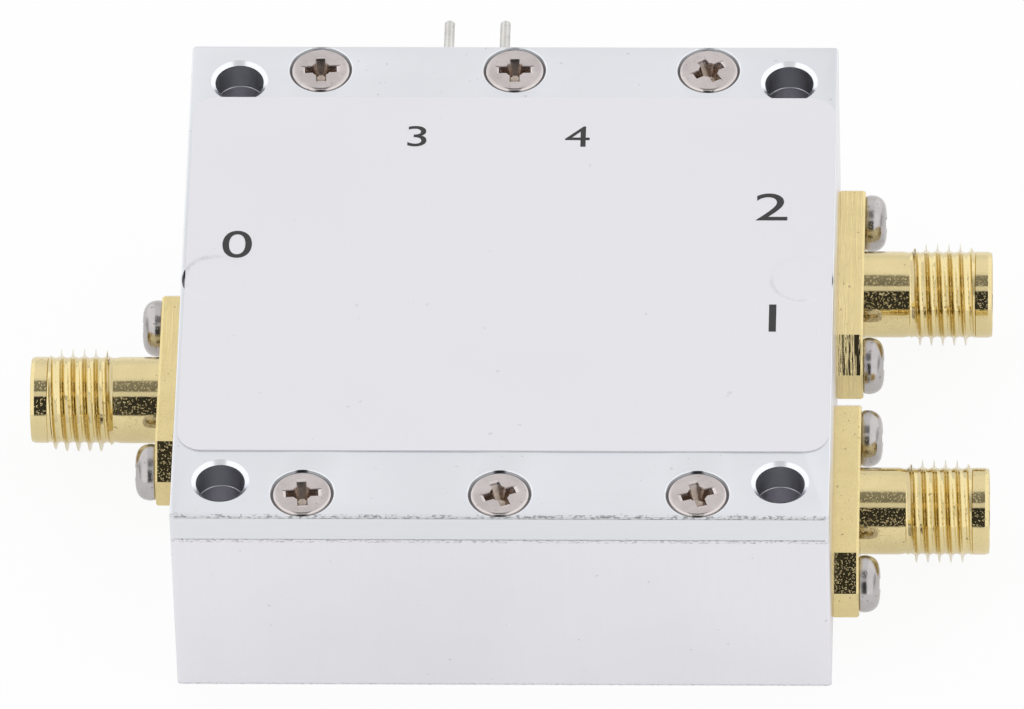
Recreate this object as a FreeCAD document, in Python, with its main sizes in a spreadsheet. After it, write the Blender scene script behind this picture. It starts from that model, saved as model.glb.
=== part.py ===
"""Coaxial antenna switch: a milled box with one common jack and two switched jacks.

Millimetres. +Z is up, +X points to the side with two jacks and +Y to the side with the two
supply pins. The origin is the middle of the box's underside, between its four mounting holes.
"""
import FreeCAD, Part
import os
from types import SimpleNamespace

import Sketcher
from FreeCAD import Placement, Rotation, Vector

SIZES = {
    # milled box and its cover
    "housing_width": 40.0,
    "housing_depth": 40.0,
    "housing_height": 13.0,
    "cover_thickness": 2.0,
    "wall_thickness": 4.0,
    "cavity_corner": 4.0,
    "edge_chamfer": 0.2,
    "corner_rounding": 0.25,
    "mounting_inset": 3.0,
    "mounting_radius": 1.5,
    # label film
    "label_thickness": 0.1,
    "label_side_margin": 0.25,
    "label_front_margin": 5.5,
    "label_back_margin": 4.5,
    "label_corner": 1.5,
    # M2 screws
    "screw_radius": 1.0,
    "screw_clearance": 0.1,
    "thread_play": 0.03,
    "drill_spare": 0.1,
    "cover_screw_inset": 2.0,
    "cover_screw_pitch": 12.0,
    "cover_screw_length": 5.0,
    "countersink_radius": 1.98,
    "countersink_play": 0.08,
    "pan_head_radius": 1.75,
    "pan_head_height": 1.3,
    "pan_screw_length": 3.0,
    # coaxial jacks
    "jack_height": 4.2,
    "jack_spacing": 18.4,
    "jack_reach": 9.55,
    "flange_thickness": 1.65,
    "flange_length": 15.88,
    "flange_width": 5.66,
    "flange_corner": 1.78,
    "flange_hole_spacing": 12.22,
    "neck_radius": 2.665,
    "neck_length": 2.8,
    "coupling_radius": 3.175,
    "nose_length": 1.0,
    "socket_radius": 2.3,
    "socket_depth": 1.9,
    "insulator_radius": 2.05,
    "press_gap": 0.01,
    "contact_radius": 0.635,
    "contact_bore_radius": 0.47,
    "contact_bore_depth": 2.6,
    "contact_tail": 2.0,
    # supply and control pins with their feedthroughs
    "supply_pin_place": -1.2,
    "control_pin_place": -4.7,
    "pin_radius": 0.32,
    "pin_reach": 12.95,
    "pin_tail": 2.5,
    "eyelet_radius": 1.25,
    "eyelet_depth": 3.0,
    "eyelet_stand": 0.3,
    "bead_radius": 0.95,
    # circuit board and what is soldered to it
    "board_thickness": 1.0,
    "board_gap": 0.5,
    "board_screw_inset": 3.0,
    "board_screw_gap": 0.6,
    "track_thickness": 0.035,
    "track_width": 1.1,
    "line_width": 0.4,
    "pad_width": 1.6,
    "solder_gap": 0.05,
    "solder_foot": 0.5,
    "solder_length": 1.2,
    "blocking_inset": 6.5,
    "bend_gap": 3.5,
    "control_run_gap": 2.5,
    "series_part_inset": 5.3,
    "chip_width": 4.0,
    "chip_height": 0.9,
    "terminal_thickness": 0.2,
    "terminal_pitch": 0.65,
    "terminal_width": 0.3,
    "terminal_length": 0.5,
    "paddle_width": 2.2,
    "passive_length": 1.6,
    "passive_width": 0.8,
    "passive_cap_length": 0.35,
    "passive_cap_step": 0.03,
    "capacitor_height": 0.8,
    "resistor_height": 0.45,
}


class Length:
    """A size, or a sum of sizes, as a number and as the expression that follows the sheet."""

    def __init__(self, number, words):
        self.number = number
        self.words = words

    def __add__(self, other):
        other = as_length(other)
        return Length(self.number + other.number, f"({self.words} + {other.words})")

    def __sub__(self, other):
        other = as_length(other)
        return Length(self.number - other.number, f"({self.words} - {other.words})")

    def __mul__(self, factor):
        return Length(self.number * factor, f"({self.words} * {factor})")

    def __truediv__(self, divisor):
        return Length(self.number / divisor, f"({self.words} / {divisor})")

    def __neg__(self):
        return Length(-self.number, f"(0 - {self.words})")


def as_length(value):
    """The value itself if it is a Length, or a fixed number as one."""
    if isinstance(value, Length):
        return value
    return Length(float(value), f"({value})")


def fill_sheet(sheet):
    """Write the driving dimensions on the sheet and give them back as Lengths."""
    for row, (alias, number) in enumerate(SIZES.items(), start=1):
        sheet.set(f"A{row}", alias.replace("_", " "))
        sheet.set(f"B{row}", str(number))
        sheet.setAlias(f"B{row}", alias)
    document.recompute()
    lengths = {alias: Length(float(sheet.get(alias)), f"Sizes.{alias}") for alias in SIZES}
    return SimpleNamespace(**lengths)


document = FreeCAD.newDocument("antenna_switch")
size = fill_sheet(document.addObject("Spreadsheet::Sheet", "Sizes"))
nodes = []

# Places that several pieces share
half_width = size.housing_width / 2
half_depth = size.housing_depth / 2
cover_top = size.housing_height + size.cover_thickness
cavity_half_width = half_width - size.wall_thickness
cavity_half_depth = half_depth - size.wall_thickness
mounting_x = half_width - size.mounting_inset
mounting_y = half_depth - size.mounting_inset
side_screw_x = half_width - size.cover_screw_inset
row_screw_y = half_depth - size.cover_screw_inset
tapped_radius = size.screw_radius + size.thread_play
through_radius = size.screw_radius + size.screw_clearance
jack_offset = size.jack_spacing / 2
flange_hole_offset = size.flange_hole_spacing / 2
reference_plane = size.jack_reach - size.socket_depth
track_top = size.jack_height - size.contact_radius - size.solder_gap
board_top = track_top - size.track_thickness
floor_top = board_top - size.board_thickness
board_half_width = cavity_half_width - size.board_gap
board_half_depth = cavity_half_depth - size.board_gap
board_screw_x = board_half_width - size.board_screw_inset
board_screw_reach = size.contact_radius + size.solder_foot + size.board_screw_gap + size.pan_head_radius
board_screw_y = jack_offset - board_screw_reach
contact_end = cavity_half_width - size.contact_tail
pin_end = cavity_half_depth - size.pin_tail
pin_height = track_top + size.solder_gap + size.pin_radius
pad_y = pin_end + size.pad_width / 2
chip_half = size.chip_width / 2
blocking_x = board_half_width - size.blocking_inset
bend_x = chip_half + size.bend_gap
series_y = board_half_depth - size.series_part_inset
control_run_y = chip_half + size.control_run_gap
supply_run_y = (control_run_y + series_y) / 2
supply_track_x = size.terminal_pitch * 1.5
capacitor_offset = size.passive_length / 2 - size.passive_cap_length / 2

COVER_SCREWS = [
    (x, y)
    for y in (-row_screw_y, row_screw_y)
    for x in (-size.cover_screw_pitch, 0, size.cover_screw_pitch)
] + [(-side_screw_x, 0), (side_screw_x, 0)]
MOUNTING_HOLES = [(x, y) for x in (-mounting_x, mounting_x) for y in (-mounting_y, mounting_y)]
BOARD_SCREWS = [(x, y) for x in (-board_screw_x, board_screw_x) for y in (-board_screw_y, board_screw_y)]
# Each jack's name, whether it is on the left side of the box, and its place along Y
JACKS = [("common", True, 0), ("port_one", False, -jack_offset), ("port_two", False, jack_offset)]
PINS = [("supply", size.supply_pin_place), ("control", size.control_pin_place)]
# Decoupling capacitors: the middle of each, and whether its grounded end lies to the left
DECOUPLING = [
    (supply_track_x + capacitor_offset, control_run_y, False),
    (size.control_pin_place - capacitor_offset, (control_run_y + series_y) / 2, True),
]
SAME = 1e-4  # two measures this close are one


def number(value):
    """The present number of a Length or of a fixed number."""
    return as_length(value).number


def new_body(label):
    """A part body that is also a node of the assembly."""
    body = document.addObject("PartDesign::Body", label)
    body.Label = label
    nodes.append(body)
    return body


def new_master(label):
    """A part body that is only copied into groups of like pieces."""
    body = document.addObject("PartDesign::Body", label)
    body.Label = label
    return body


def place(item, x, y, z, turn=0):
    """Turn an object about Z and put it where the sheet says."""
    rotation = Rotation(Vector(0, 0, 1), turn)
    item.Placement = Placement(Vector(number(x), number(y), number(z)), rotation)
    for axis, value in (("x", x), ("y", y), ("z", z)):
        if isinstance(value, Length):
            item.setExpression(f"Placement.Base.{axis}", value.words)


def new_sketch(body, role, name, offset=0):
    """A sketch on one of the body's own origin planes, or parallel to it at a distance."""
    plane = next(item for item in body.Origin.OriginFeatures if item.Role == role)
    sketch = body.newObject("Sketcher::SketchObject", f"{body.Name}_{name}")
    sketch.AttachmentSupport = [(plane, "")]
    sketch.MapMode = "FlatFace"
    sketch.AttachmentOffset = Placement(Vector(0, 0, number(offset)), Rotation())
    if isinstance(offset, Length):
        sketch.setExpression("AttachmentOffset.Base.z", offset.words)
    return sketch


def hold(sketch, shape, point, x, y):
    """Fix one point of a sketch at its two distances from the sketch's origin."""
    for kind, axis, value in (("DistanceX", -2, x), ("DistanceY", -1, y)):
        if not isinstance(value, Length) and value == 0:
            sketch.addConstraint(Sketcher.Constraint("PointOnObject", shape, point, axis))
            continue
        distance = Sketcher.Constraint(kind, -1, 1, shape, point, number(value))
        index = sketch.addConstraint(distance)
        if isinstance(value, Length):
            sketch.setExpression(f"Constraints[{index}]", value.words)


def outline(sketch, points):
    """A closed outline of straight lines through the points."""
    first = sketch.GeometryCount
    count = len(points)
    corners = [Vector(number(x), number(y), 0) for x, y in points]
    lines = [Part.LineSegment(corners[i], corners[(i + 1) % count]) for i in range(count)]
    sketch.addGeometry(lines)
    joints = [
        Sketcher.Constraint("Coincident", first + i, 2, first + (i + 1) % count, 1) for i in range(count)
    ]
    sketch.addConstraint(joints)
    for i, (x, y) in enumerate(points):
        hold(sketch, first + i, 1, x, y)


def rectangle(sketch, left, right, low, high):
    """A closed rectangle between two places along each axis."""
    outline(sketch, [(left, low), (right, low), (right, high), (left, high)])


def circle(sketch, x, y, radius):
    """A circle round the point x, y."""
    index = sketch.addGeometry(Part.Circle(Vector(number(x), number(y), 0), Vector(0, 0, 1), number(radius)))
    hold(sketch, index, 3, x, y)
    bound = sketch.addConstraint(Sketcher.Constraint("Radius", index, number(radius)))
    sketch.setExpression(f"Constraints[{bound}]", radius.words)


def add_feature(body, kind, name):
    """Add a feature to the body under a name of its own."""
    return body.newObject(kind, f"{body.Name}_{name}")


def pad(body, sketch, length, name, reverse=False):
    """Add the sketch's area, raised by a length along the sketch's normal."""
    feature = add_feature(body, "PartDesign::Pad", name)
    feature.Profile = sketch
    feature.setExpression("Length", length.words)
    feature.Reversed = reverse
    document.recompute()
    return feature


def pocket(body, sketch, depth, name, reverse=False):
    """Cut the sketch's area into the body, by a depth or right through where none is given."""
    before = body.Shape.Volume
    feature = add_feature(body, "PartDesign::Pocket", name)
    feature.Profile = sketch
    feature.Reversed = reverse
    if depth is None:
        feature.Type = "ThroughAll"
    else:
        feature.setExpression("Length", depth.words)
    document.recompute()
    if body.Shape.Volume >= before:
        raise RuntimeError(f"{feature.Name} removes nothing")
    return feature


def revolve(body, points, name, axis="H_Axis"):
    """Add the solid that the points' outline in the XZ plane sweeps round an axis."""
    sketch = new_sketch(body, "XZ_Plane", f"{name}_profile")
    outline(sketch, points)
    feature = add_feature(body, "PartDesign::Revolution", name)
    feature.Profile = sketch
    feature.ReferenceAxis = (sketch, [axis])
    feature.Angle = 360
    document.recompute()
    return feature


def bore(body, points, name):
    """Cut the solid that the points' outline in the XZ plane sweeps round the X axis."""
    before = body.Shape.Volume
    sketch = new_sketch(body, "XZ_Plane", f"{name}_profile")
    outline(sketch, points)
    feature = add_feature(body, "PartDesign::Groove", name)
    feature.Profile = sketch
    feature.ReferenceAxis = (sketch, ["H_Axis"])
    feature.Angle = 360
    document.recompute()
    if body.Shape.Volume >= before:
        raise RuntimeError(f"{feature.Name} removes nothing")
    return feature


def dress(body, kind, value, amount, name, test):
    """Round or chamfer the edges of the body's newest feature that pass a test."""
    base = body.Tip
    edges = [f"Edge{i}" for i, edge in enumerate(base.Shape.Edges, start=1) if test(edge)]
    if not edges:
        raise RuntimeError(f"{body.Name} has no edge for its {name}")
    feature = add_feature(body, kind, name)
    feature.Base = (base, edges)
    feature.setExpression(value, amount.words)
    document.recompute()
    return feature


def fillet(body, radius, name, test):
    """Round the edges that pass a test."""
    return dress(body, "PartDesign::Fillet", "Radius", radius, name, test)


def chamfer(body, width, name, test):
    """Chamfer the edges that pass a test."""
    return dress(body, "PartDesign::Chamfer", "Size", width, name, test)


def near(first, second):
    """Whether two numbers are the same length."""
    return abs(first - number(second)) < SAME


def is_upright(edge):
    """Whether an edge runs along Z."""
    box = edge.BoundBox
    return box.ZLength > SAME and box.XLength < SAME and box.YLength < SAME


def is_upright_at(x, y):
    """A test for upright edges at plus or minus x and y."""

    def test(edge):
        middle = edge.BoundBox.Center
        return is_upright(edge) and near(abs(middle.x), x) and near(abs(middle.y), y)

    return test


def is_outer_rim(z, x, y):
    """A test for level edges at height z along the box's four sides."""

    def test(edge):
        box = edge.BoundBox
        level = near(box.ZMin, z) and near(box.ZMax, z)
        at_side = near(max(abs(box.XMin), abs(box.XMax)), x)
        at_end = near(max(abs(box.YMin), abs(box.YMax)), y)
        return level and (at_side or at_end)

    return test


def copies_of(master, spots):
    """Copies of a master's solid at a list of placements."""
    copies = []
    for spot in spots:
        copy = master.Tip.Shape.copy()
        copy.Placement = spot * copy.Placement
        copies.append(copy)
    return copies


def group(label, copies):
    """Separate solids under a single name."""
    feature = document.addObject("Part::Feature", label)
    feature.Label = label
    feature.Shape = Part.makeCompound(copies)
    feature.Placement = Placement()
    nodes.append(feature)


def upright_spot(x, y, z, turn=0):
    """A placement with its Z axis up, turned about it."""
    return Placement(Vector(number(x), number(y), number(z)), Rotation(Vector(0, 0, 1), turn))


def outwards(length, left):
    """A length along X, counted towards the side of the box that a jack is on."""
    return -length if left else length


def facing(left):
    """The turn about Z that makes a piece drawn towards +X face out of its side of the box."""
    return 180 if left else 0


def make_housing():
    """The milled box: its cavity with wide corners, and the holes for screws, jacks and pins."""
    body = new_body("housing")
    block = new_sketch(body, "XY_Plane", "block_outline")
    rectangle(block, -half_width, half_width, -half_depth, half_depth)
    pad(body, block, size.housing_height, "block")
    fillet(body, size.corner_rounding, "corners", is_upright_at(half_width, half_depth))
    cavity = new_sketch(body, "XY_Plane", "cavity_outline", size.housing_height)
    rectangle(cavity, -cavity_half_width, cavity_half_width, -cavity_half_depth, cavity_half_depth)
    pocket(body, cavity, size.housing_height - floor_top, "cavity")
    fillet(body, size.cavity_corner, "cavity_corners", is_upright_at(cavity_half_width, cavity_half_depth))
    chamfer(body, size.edge_chamfer, "base_edges", is_outer_rim(0, half_width, half_depth))
    chamfer(body, size.edge_chamfer, "top_edges", is_outer_rim(size.housing_height, half_width, half_depth))
    mounting = new_sketch(body, "XY_Plane", "mounting_circles", size.housing_height)
    for x, y in MOUNTING_HOLES:
        circle(mounting, x, y, size.mounting_radius)
    pocket(body, mounting, None, "mounting_holes")
    tapped = new_sketch(body, "XY_Plane", "cover_screw_circles", size.housing_height)
    for x, y in COVER_SCREWS:
        circle(tapped, x, y, tapped_radius)
    tapped_depth = size.cover_screw_length - size.cover_thickness + size.drill_spare
    pocket(body, tapped, tapped_depth, "cover_screw_holes")
    floor_holes = new_sketch(body, "XY_Plane", "board_screw_circles", floor_top)
    for x, y in BOARD_SCREWS:
        circle(floor_holes, x, y, tapped_radius)
    floor_depth = size.pan_screw_length - size.board_thickness + size.drill_spare
    pocket(body, floor_holes, floor_depth, "board_screw_holes")
    cut_jack_holes(body)
    feedthroughs = new_sketch(body, "XZ_Plane", "feedthrough_circles", -half_depth)
    for _, x in PINS:
        circle(feedthroughs, x, pin_height, size.eyelet_radius + size.press_gap)
    pocket(body, feedthroughs, size.wall_thickness, "feedthrough_holes", reverse=True)


def cut_jack_holes(body):
    """Each jack's insulator hole through the wall and its two blind tapped holes."""
    depth = size.pan_screw_length - size.flange_thickness + size.drill_spare
    for name, left, y in JACKS:
        x = outwards(half_width, left)
        passage = new_sketch(body, "YZ_Plane", f"{name}_passage_circle", x)
        circle(passage, y, size.jack_height, size.insulator_radius + size.press_gap)
        pocket(body, passage, size.wall_thickness, f"{name}_passage", reverse=left)
        screws = new_sketch(body, "YZ_Plane", f"{name}_screw_circles", x)
        for offset in (-flange_hole_offset, flange_hole_offset):
            circle(screws, offset + y, size.jack_height, tapped_radius)
        pocket(body, screws, depth, f"{name}_screw_holes", reverse=left)


def make_cover():
    """The flat cover, with countersunk screw holes and the ends of the mounting holes."""
    body = new_body("cover")
    plate = new_sketch(body, "XY_Plane", "plate_outline")
    rectangle(plate, -half_width, half_width, -half_depth, half_depth)
    pad(body, plate, size.cover_thickness, "plate")
    fillet(body, size.corner_rounding, "corners", is_upright_at(half_width, half_depth))
    chamfer(body, size.edge_chamfer, "top_edges", is_outer_rim(size.cover_thickness, half_width, half_depth))
    mounting = new_sketch(body, "XY_Plane", "mounting_circles", size.cover_thickness)
    for x, y in MOUNTING_HOLES:
        circle(mounting, x, y, size.mounting_radius)
    pocket(body, mounting, None, "mounting_holes")
    screws = new_sketch(body, "XY_Plane", "screw_circles", size.cover_thickness)
    for x, y in COVER_SCREWS:
        circle(screws, x, y, through_radius)
    document.recompute()
    hole = add_feature(body, "PartDesign::Hole", "screw_holes")
    hole.Profile = screws
    document.recompute()
    hole.DepthType = "ThroughAll"
    hole.HoleCutType = "Countersink"
    hole.HoleCutCustomValues = True
    hole.HoleCutCountersinkAngle = 90
    hole.setExpression("Diameter", (through_radius * 2).words)
    hole.setExpression("HoleCutDiameter", (size.countersink_radius * 2).words)
    document.recompute()
    place(body, 0, 0, size.housing_height)


def make_label():
    """The label film on the cover, which also hides the two side screws."""
    body = new_body("label")
    sheet = new_sketch(body, "XY_Plane", "film_outline")
    edge_x = half_width - size.label_side_margin
    front = size.label_front_margin - half_depth
    back = half_depth - size.label_back_margin
    rectangle(sheet, -edge_x, edge_x, front, back)
    pad(body, sheet, size.label_thickness, "film")
    fillet(body, size.label_corner, "corners", is_upright)
    place(body, 0, 0, cover_top)


def make_cover_screws():
    """Countersunk screws that hold the cover, flush with its top."""
    body = new_master("cover_screw")
    head = size.countersink_radius - size.countersink_play
    shank = size.screw_radius
    revolve(body, [
        (0, -size.countersink_play), (head, -size.countersink_play),
        (shank, shank - size.countersink_radius), (shank, -size.cover_screw_length),
        (0, -size.cover_screw_length),
    ], "turned", "V_Axis")
    spots = [upright_spot(x, y, cover_top) for x, y in COVER_SCREWS]
    group("cover_screws", copies_of(body, spots))


def make_pan_screws():
    """Pan-head screws: six through the jacks' flanges and four through the board."""
    body = new_master("pan_screw")
    head, shank, top = size.pan_head_radius, size.screw_radius, size.pan_head_height
    revolve(body, [
        (0, top), (head, top), (head, 0), (shank, 0),
        (shank, -size.pan_screw_length), (0, -size.pan_screw_length),
    ], "turned", "V_Axis")
    spots = []
    for _, left, y in JACKS:
        seat = number(outwards(half_width + size.flange_thickness, left))
        lean = Rotation(Vector(0, 1, 0), -90 if left else 90)
        for offset in (-flange_hole_offset, flange_hole_offset):
            spots.append(Placement(Vector(seat, number(offset + y), number(size.jack_height)), lean))
    group("flange_screws", copies_of(body, spots))
    board_spots = [upright_spot(x, y, board_top) for x, y in BOARD_SCREWS]
    group("board_screws", copies_of(body, board_spots))


def make_jack_shell(name):
    """A jack's outer conductor: octagonal flange, neck, coupling barrel and socket."""
    body = new_body(f"{name}_jack_shell")
    flange = new_sketch(body, "YZ_Plane", "flange_outline")
    far_y, far_z = size.flange_length / 2, size.flange_width / 2
    near_y, near_z = far_y - size.flange_corner, far_z - size.flange_corner
    outline(flange, [
        (far_y, -near_z), (far_y, near_z), (near_y, far_z), (-near_y, far_z),
        (-far_y, near_z), (-far_y, -near_z), (-near_y, -far_z), (near_y, -far_z),
    ])
    pad(body, flange, size.flange_thickness, "flange")
    neck, barrel = size.neck_radius, size.coupling_radius
    lead_in = barrel - neck
    barrel_start = size.flange_thickness + size.neck_length
    barrel_end = size.jack_reach - size.nose_length
    revolve(body, [
        (size.flange_thickness, 0), (size.flange_thickness, neck), (barrel_start, neck),
        (barrel_start, barrel), (barrel_end - lead_in, barrel), (barrel_end, neck),
        (size.jack_reach, neck), (size.jack_reach, 0),
    ], "barrel")
    inner = size.insulator_radius + size.press_gap
    bore(body, [
        (0, 0), (0, inner), (reference_plane, inner), (reference_plane, size.socket_radius),
        (size.jack_reach, size.socket_radius), (size.jack_reach, 0),
    ], "socket")
    screws = new_sketch(body, "YZ_Plane", "screw_circles")
    for offset in (-flange_hole_offset, flange_hole_offset):
        circle(screws, offset, 0, through_radius)
    pocket(body, screws, size.flange_thickness, "screw_holes", reverse=True)
    return body


def make_jack_insulator(name):
    """The insulator from the reference plane back to the wall's inner face."""
    body = new_body(f"{name}_jack_insulator")
    inner = size.contact_radius + size.press_gap
    outer = size.insulator_radius
    back = -size.wall_thickness
    front = reference_plane
    revolve(body, [(back, inner), (back, outer), (front, outer), (front, inner)], "turned")
    return body


def make_jack_contact(name):
    """The centre contact: a socket in front and a tail that lies on the track."""
    body = new_body(f"{name}_jack_contact")
    outer, inner = size.contact_radius, size.contact_bore_radius
    back = -(size.wall_thickness + size.contact_tail)
    front = reference_plane
    floor_x = front - size.contact_bore_depth
    revolve(body, [
        (back, 0), (back, outer), (front, outer), (front, inner), (floor_x, inner), (floor_x, 0),
    ], "turned")
    return body


def make_jacks():
    """The three jacks, each a shell, an insulator and a contact on one axis."""
    for name, left, y in JACKS:
        for maker in (make_jack_shell, make_jack_insulator, make_jack_contact):
            place(maker(name), outwards(half_width, left), y, size.jack_height, facing(left))


def make_pin(name, x):
    """A supply or control pin: straight through the wall, with its tail on the board's pad."""
    body = new_body(f"{name}_pin")
    wire, tip = size.pin_radius, size.pin_reach
    back = -(size.wall_thickness + size.pin_tail)
    revolve(body, [(back, 0), (back, wire), (tip, wire), (tip, 0)], "drawn")
    place(body, x, half_depth, pin_height, 90)


def make_feedthroughs():
    """The two pins and the eyelets and beads that hold and insulate them."""
    for name, x in PINS:
        make_pin(name, x)
    eyelet = new_master("eyelet")
    hole, outer = size.bead_radius, size.eyelet_radius
    back, front = -size.eyelet_depth, size.eyelet_stand
    revolve(eyelet, [(back, hole), (back, outer), (front, outer), (front, hole)], "turned")
    bead = new_master("bead")
    inner, outer = size.pin_radius + size.press_gap, size.bead_radius - size.press_gap
    revolve(bead, [(back, inner), (back, outer), (0, outer), (0, inner)], "cast")
    spots = [upright_spot(x, half_depth, pin_height, 90) for _, x in PINS]
    group("feedthrough_eyelets", copies_of(eyelet, spots))
    group("feedthrough_beads", copies_of(bead, spots))


def make_board():
    """The circuit board, which fills the cavity's floor."""
    body = new_body("circuit_board")
    sheet = new_sketch(body, "XY_Plane", "board_outline")
    rectangle(sheet, -board_half_width, board_half_width, -board_half_depth, board_half_depth)
    pad(body, sheet, size.board_thickness, "laminate")
    corner = size.cavity_corner - size.board_gap
    fillet(body, corner, "corners", is_upright_at(board_half_width, board_half_depth))
    screws = new_sketch(body, "XY_Plane", "screw_circles", size.board_thickness)
    for x, y in BOARD_SCREWS:
        circle(screws, x, y, through_radius)
    pocket(body, screws, None, "screw_holes")
    place(body, 0, 0, floor_top)


def draw_common_tracks(sketch):
    """The common jack's track, with a gap for its blocking capacitor."""
    half = size.track_width / 2
    gap_half = size.passive_length / 2 - size.passive_cap_length
    neck_y = size.terminal_pitch / 2
    neck_half = size.terminal_width / 2
    block = -blocking_x
    end = -(chip_half + size.track_width)
    rectangle(sketch, -board_half_width, block - gap_half, -half, half)
    outline(sketch, [
        (block + gap_half, -half), (end, -half), (end, neck_y - neck_half), (-chip_half, neck_y - neck_half),
        (-chip_half, neck_y + neck_half), (end, neck_y + neck_half), (end, half), (block + gap_half, half),
    ])


def draw_port_tracks(sketch, side):
    """A switched jack's track: in from the wall, past its capacitor and round to the chip."""
    half = size.track_width / 2
    gap_half = size.passive_length / 2 - size.passive_cap_length
    jack_y = jack_offset * side
    neck_y = size.terminal_pitch * 1.5 * side
    neck_half = size.terminal_width / 2
    rectangle(sketch, blocking_x + gap_half, board_half_width, jack_y - half, jack_y + half)
    outline(sketch, [
        (blocking_x - gap_half, jack_y + half * side), (bend_x - half, jack_y + half * side),
        (bend_x - half, neck_y + neck_half * side), (chip_half, neck_y + neck_half * side),
        (chip_half, neck_y - neck_half * side), (bend_x + half, neck_y - neck_half * side),
        (bend_x + half, jack_y - half * side), (blocking_x - gap_half, jack_y - half * side),
    ])


def draw_line_tracks(sketch, pin_x, run_y, terminal_x):
    """A control or supply line: pad, gap for a series part, a sideways run and the terminal."""
    half = size.line_width / 2
    pad_half = size.pad_width / 2
    neck_half = size.terminal_width / 2
    gap_half = size.passive_length / 2 - size.passive_cap_length
    outline(sketch, [
        (pin_x - pad_half, pad_y - pad_half), (pin_x - half, pad_y - pad_half),
        (pin_x - half, series_y + gap_half), (pin_x + half, series_y + gap_half),
        (pin_x + half, pad_y - pad_half), (pin_x + pad_half, pad_y - pad_half),
        (pin_x + pad_half, pad_y + pad_half), (pin_x - pad_half, pad_y + pad_half),
    ])
    outline(sketch, [
        (pin_x + half, series_y - gap_half), (pin_x - half, series_y - gap_half), (pin_x - half, run_y - half),
        (terminal_x - neck_half, run_y - half), (terminal_x - neck_half, chip_half),
        (terminal_x + neck_half, chip_half), (terminal_x + neck_half, run_y + half),
        (pin_x + half, run_y + half),
    ])


def make_tracks():
    """The copper tracks and pads on top of the board."""
    body = new_body("copper_tracks")
    body.AllowCompound = True
    common = new_sketch(body, "XY_Plane", "common_outline")
    draw_common_tracks(common)
    pad(body, common, size.track_thickness, "common")
    for name, side in (("port_one", -1), ("port_two", 1)):
        port = new_sketch(body, "XY_Plane", f"{name}_outline")
        draw_port_tracks(port, side)
        pad(body, port, size.track_thickness, name)
    lines = new_sketch(body, "XY_Plane", "line_outline")
    draw_line_tracks(lines, size.control_pin_place, control_run_y, -supply_track_x)
    draw_line_tracks(lines, size.supply_pin_place, supply_run_y, supply_track_x)
    pad(body, lines, size.track_thickness, "lines")
    ground = new_sketch(body, "XY_Plane", "ground_outline")
    paddle = size.paddle_width / 2
    rectangle(ground, -paddle, paddle, -paddle, paddle)
    half = size.passive_width / 2
    inner_edge = size.passive_length / 2 - size.passive_cap_length
    for x, y, left in DECOUPLING:
        start = x + outwards(inner_edge, left)
        rectangle(ground, start, start + outwards(size.pad_width, left), y - half, y + half)
    pad(body, ground, size.track_thickness, "ground")
    place(body, 0, 0, board_top)


def make_chip():
    """The leadless switch chip: a moulded block on its terminals and thermal paddle."""
    mould = new_body("switch_chip")
    block = new_sketch(mould, "XY_Plane", "block_outline")
    rectangle(block, -chip_half, chip_half, -chip_half, chip_half)
    pad(mould, block, size.chip_height - size.terminal_thickness, "block")
    place(mould, 0, 0, track_top + size.terminal_thickness)
    frame = new_body("switch_chip_terminals")
    frame.AllowCompound = True
    sketch = new_sketch(frame, "XY_Plane", "terminal_outline")
    paddle = size.paddle_width / 2
    rectangle(sketch, -paddle, paddle, -paddle, paddle)
    half = size.terminal_width / 2
    inner = chip_half - size.terminal_length
    for step in (-1.5, -0.5, 0.5, 1.5):
        middle = size.terminal_pitch * step
        for start, end in ((-chip_half, -inner), (inner, chip_half)):
            rectangle(sketch, start, end, middle - half, middle + half)
            rectangle(sketch, middle - half, middle + half, start, end)
    pad(frame, sketch, size.terminal_thickness, "terminals")
    place(frame, 0, 0, track_top)


def make_passive_master(label, height):
    """A small board part: a ceramic block with a slightly larger metal cap on each end."""
    body = new_master(label)
    far = size.passive_length / 2
    middle = far - size.passive_cap_length
    step = size.passive_cap_step
    outer, inner = size.passive_width / 2, size.passive_width / 2 - step
    caps = new_sketch(body, "XY_Plane", "cap_outline")
    outline(caps, [
        (-far, -outer), (-middle, -outer), (-middle, -inner),
        (middle, -inner), (middle, -outer), (far, -outer),
        (far, outer), (middle, outer), (middle, inner),
        (-middle, inner), (-middle, outer), (-far, outer),
    ])
    pad(body, caps, height, "whole")
    top = new_sketch(body, "XY_Plane", "top_outline", height)
    rectangle(top, -middle, middle, -outer, outer)
    pocket(body, top, step, "lowered_middle")
    return body


def make_board_parts():
    """Blocking and decoupling capacitors, the control resistor and the supply choke."""
    capacitor = make_passive_master("capacitor", size.capacitor_height)
    resistor = make_passive_master("resistor", size.resistor_height)
    blocking = [upright_spot(outwards(blocking_x, left), y, track_top) for _, left, y in JACKS]
    group("blocking_capacitors", copies_of(capacitor, blocking))
    decoupling = [upright_spot(x, y, track_top) for x, y, _ in DECOUPLING]
    group("decoupling_capacitors", copies_of(capacitor, decoupling))
    control = upright_spot(size.control_pin_place, series_y, track_top, 90)
    group("control_resistor", copies_of(resistor, [control]))
    supply = upright_spot(size.supply_pin_place, series_y, track_top, 90)
    group("supply_choke", copies_of(capacitor, [supply]))


def make_saddle(label, radius):
    """Solder under and beside a round tail that lies along X, at the end of its run."""
    body = new_master(label)
    low = -(size.solder_gap + radius)
    foot = radius + size.solder_foot
    shape = new_sketch(body, "YZ_Plane", "shape_outline")
    crest = radius + size.solder_gap
    outline(shape, [(-foot, low), (foot, low), (crest, 0), (-crest, 0)])
    pad(body, shape, size.solder_length, "shape")
    tail = new_sketch(body, "YZ_Plane", "tail_circle")
    circle(tail, 0, 0, radius)
    pocket(body, tail, size.solder_length, "tail", reverse=True)
    return body


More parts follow.
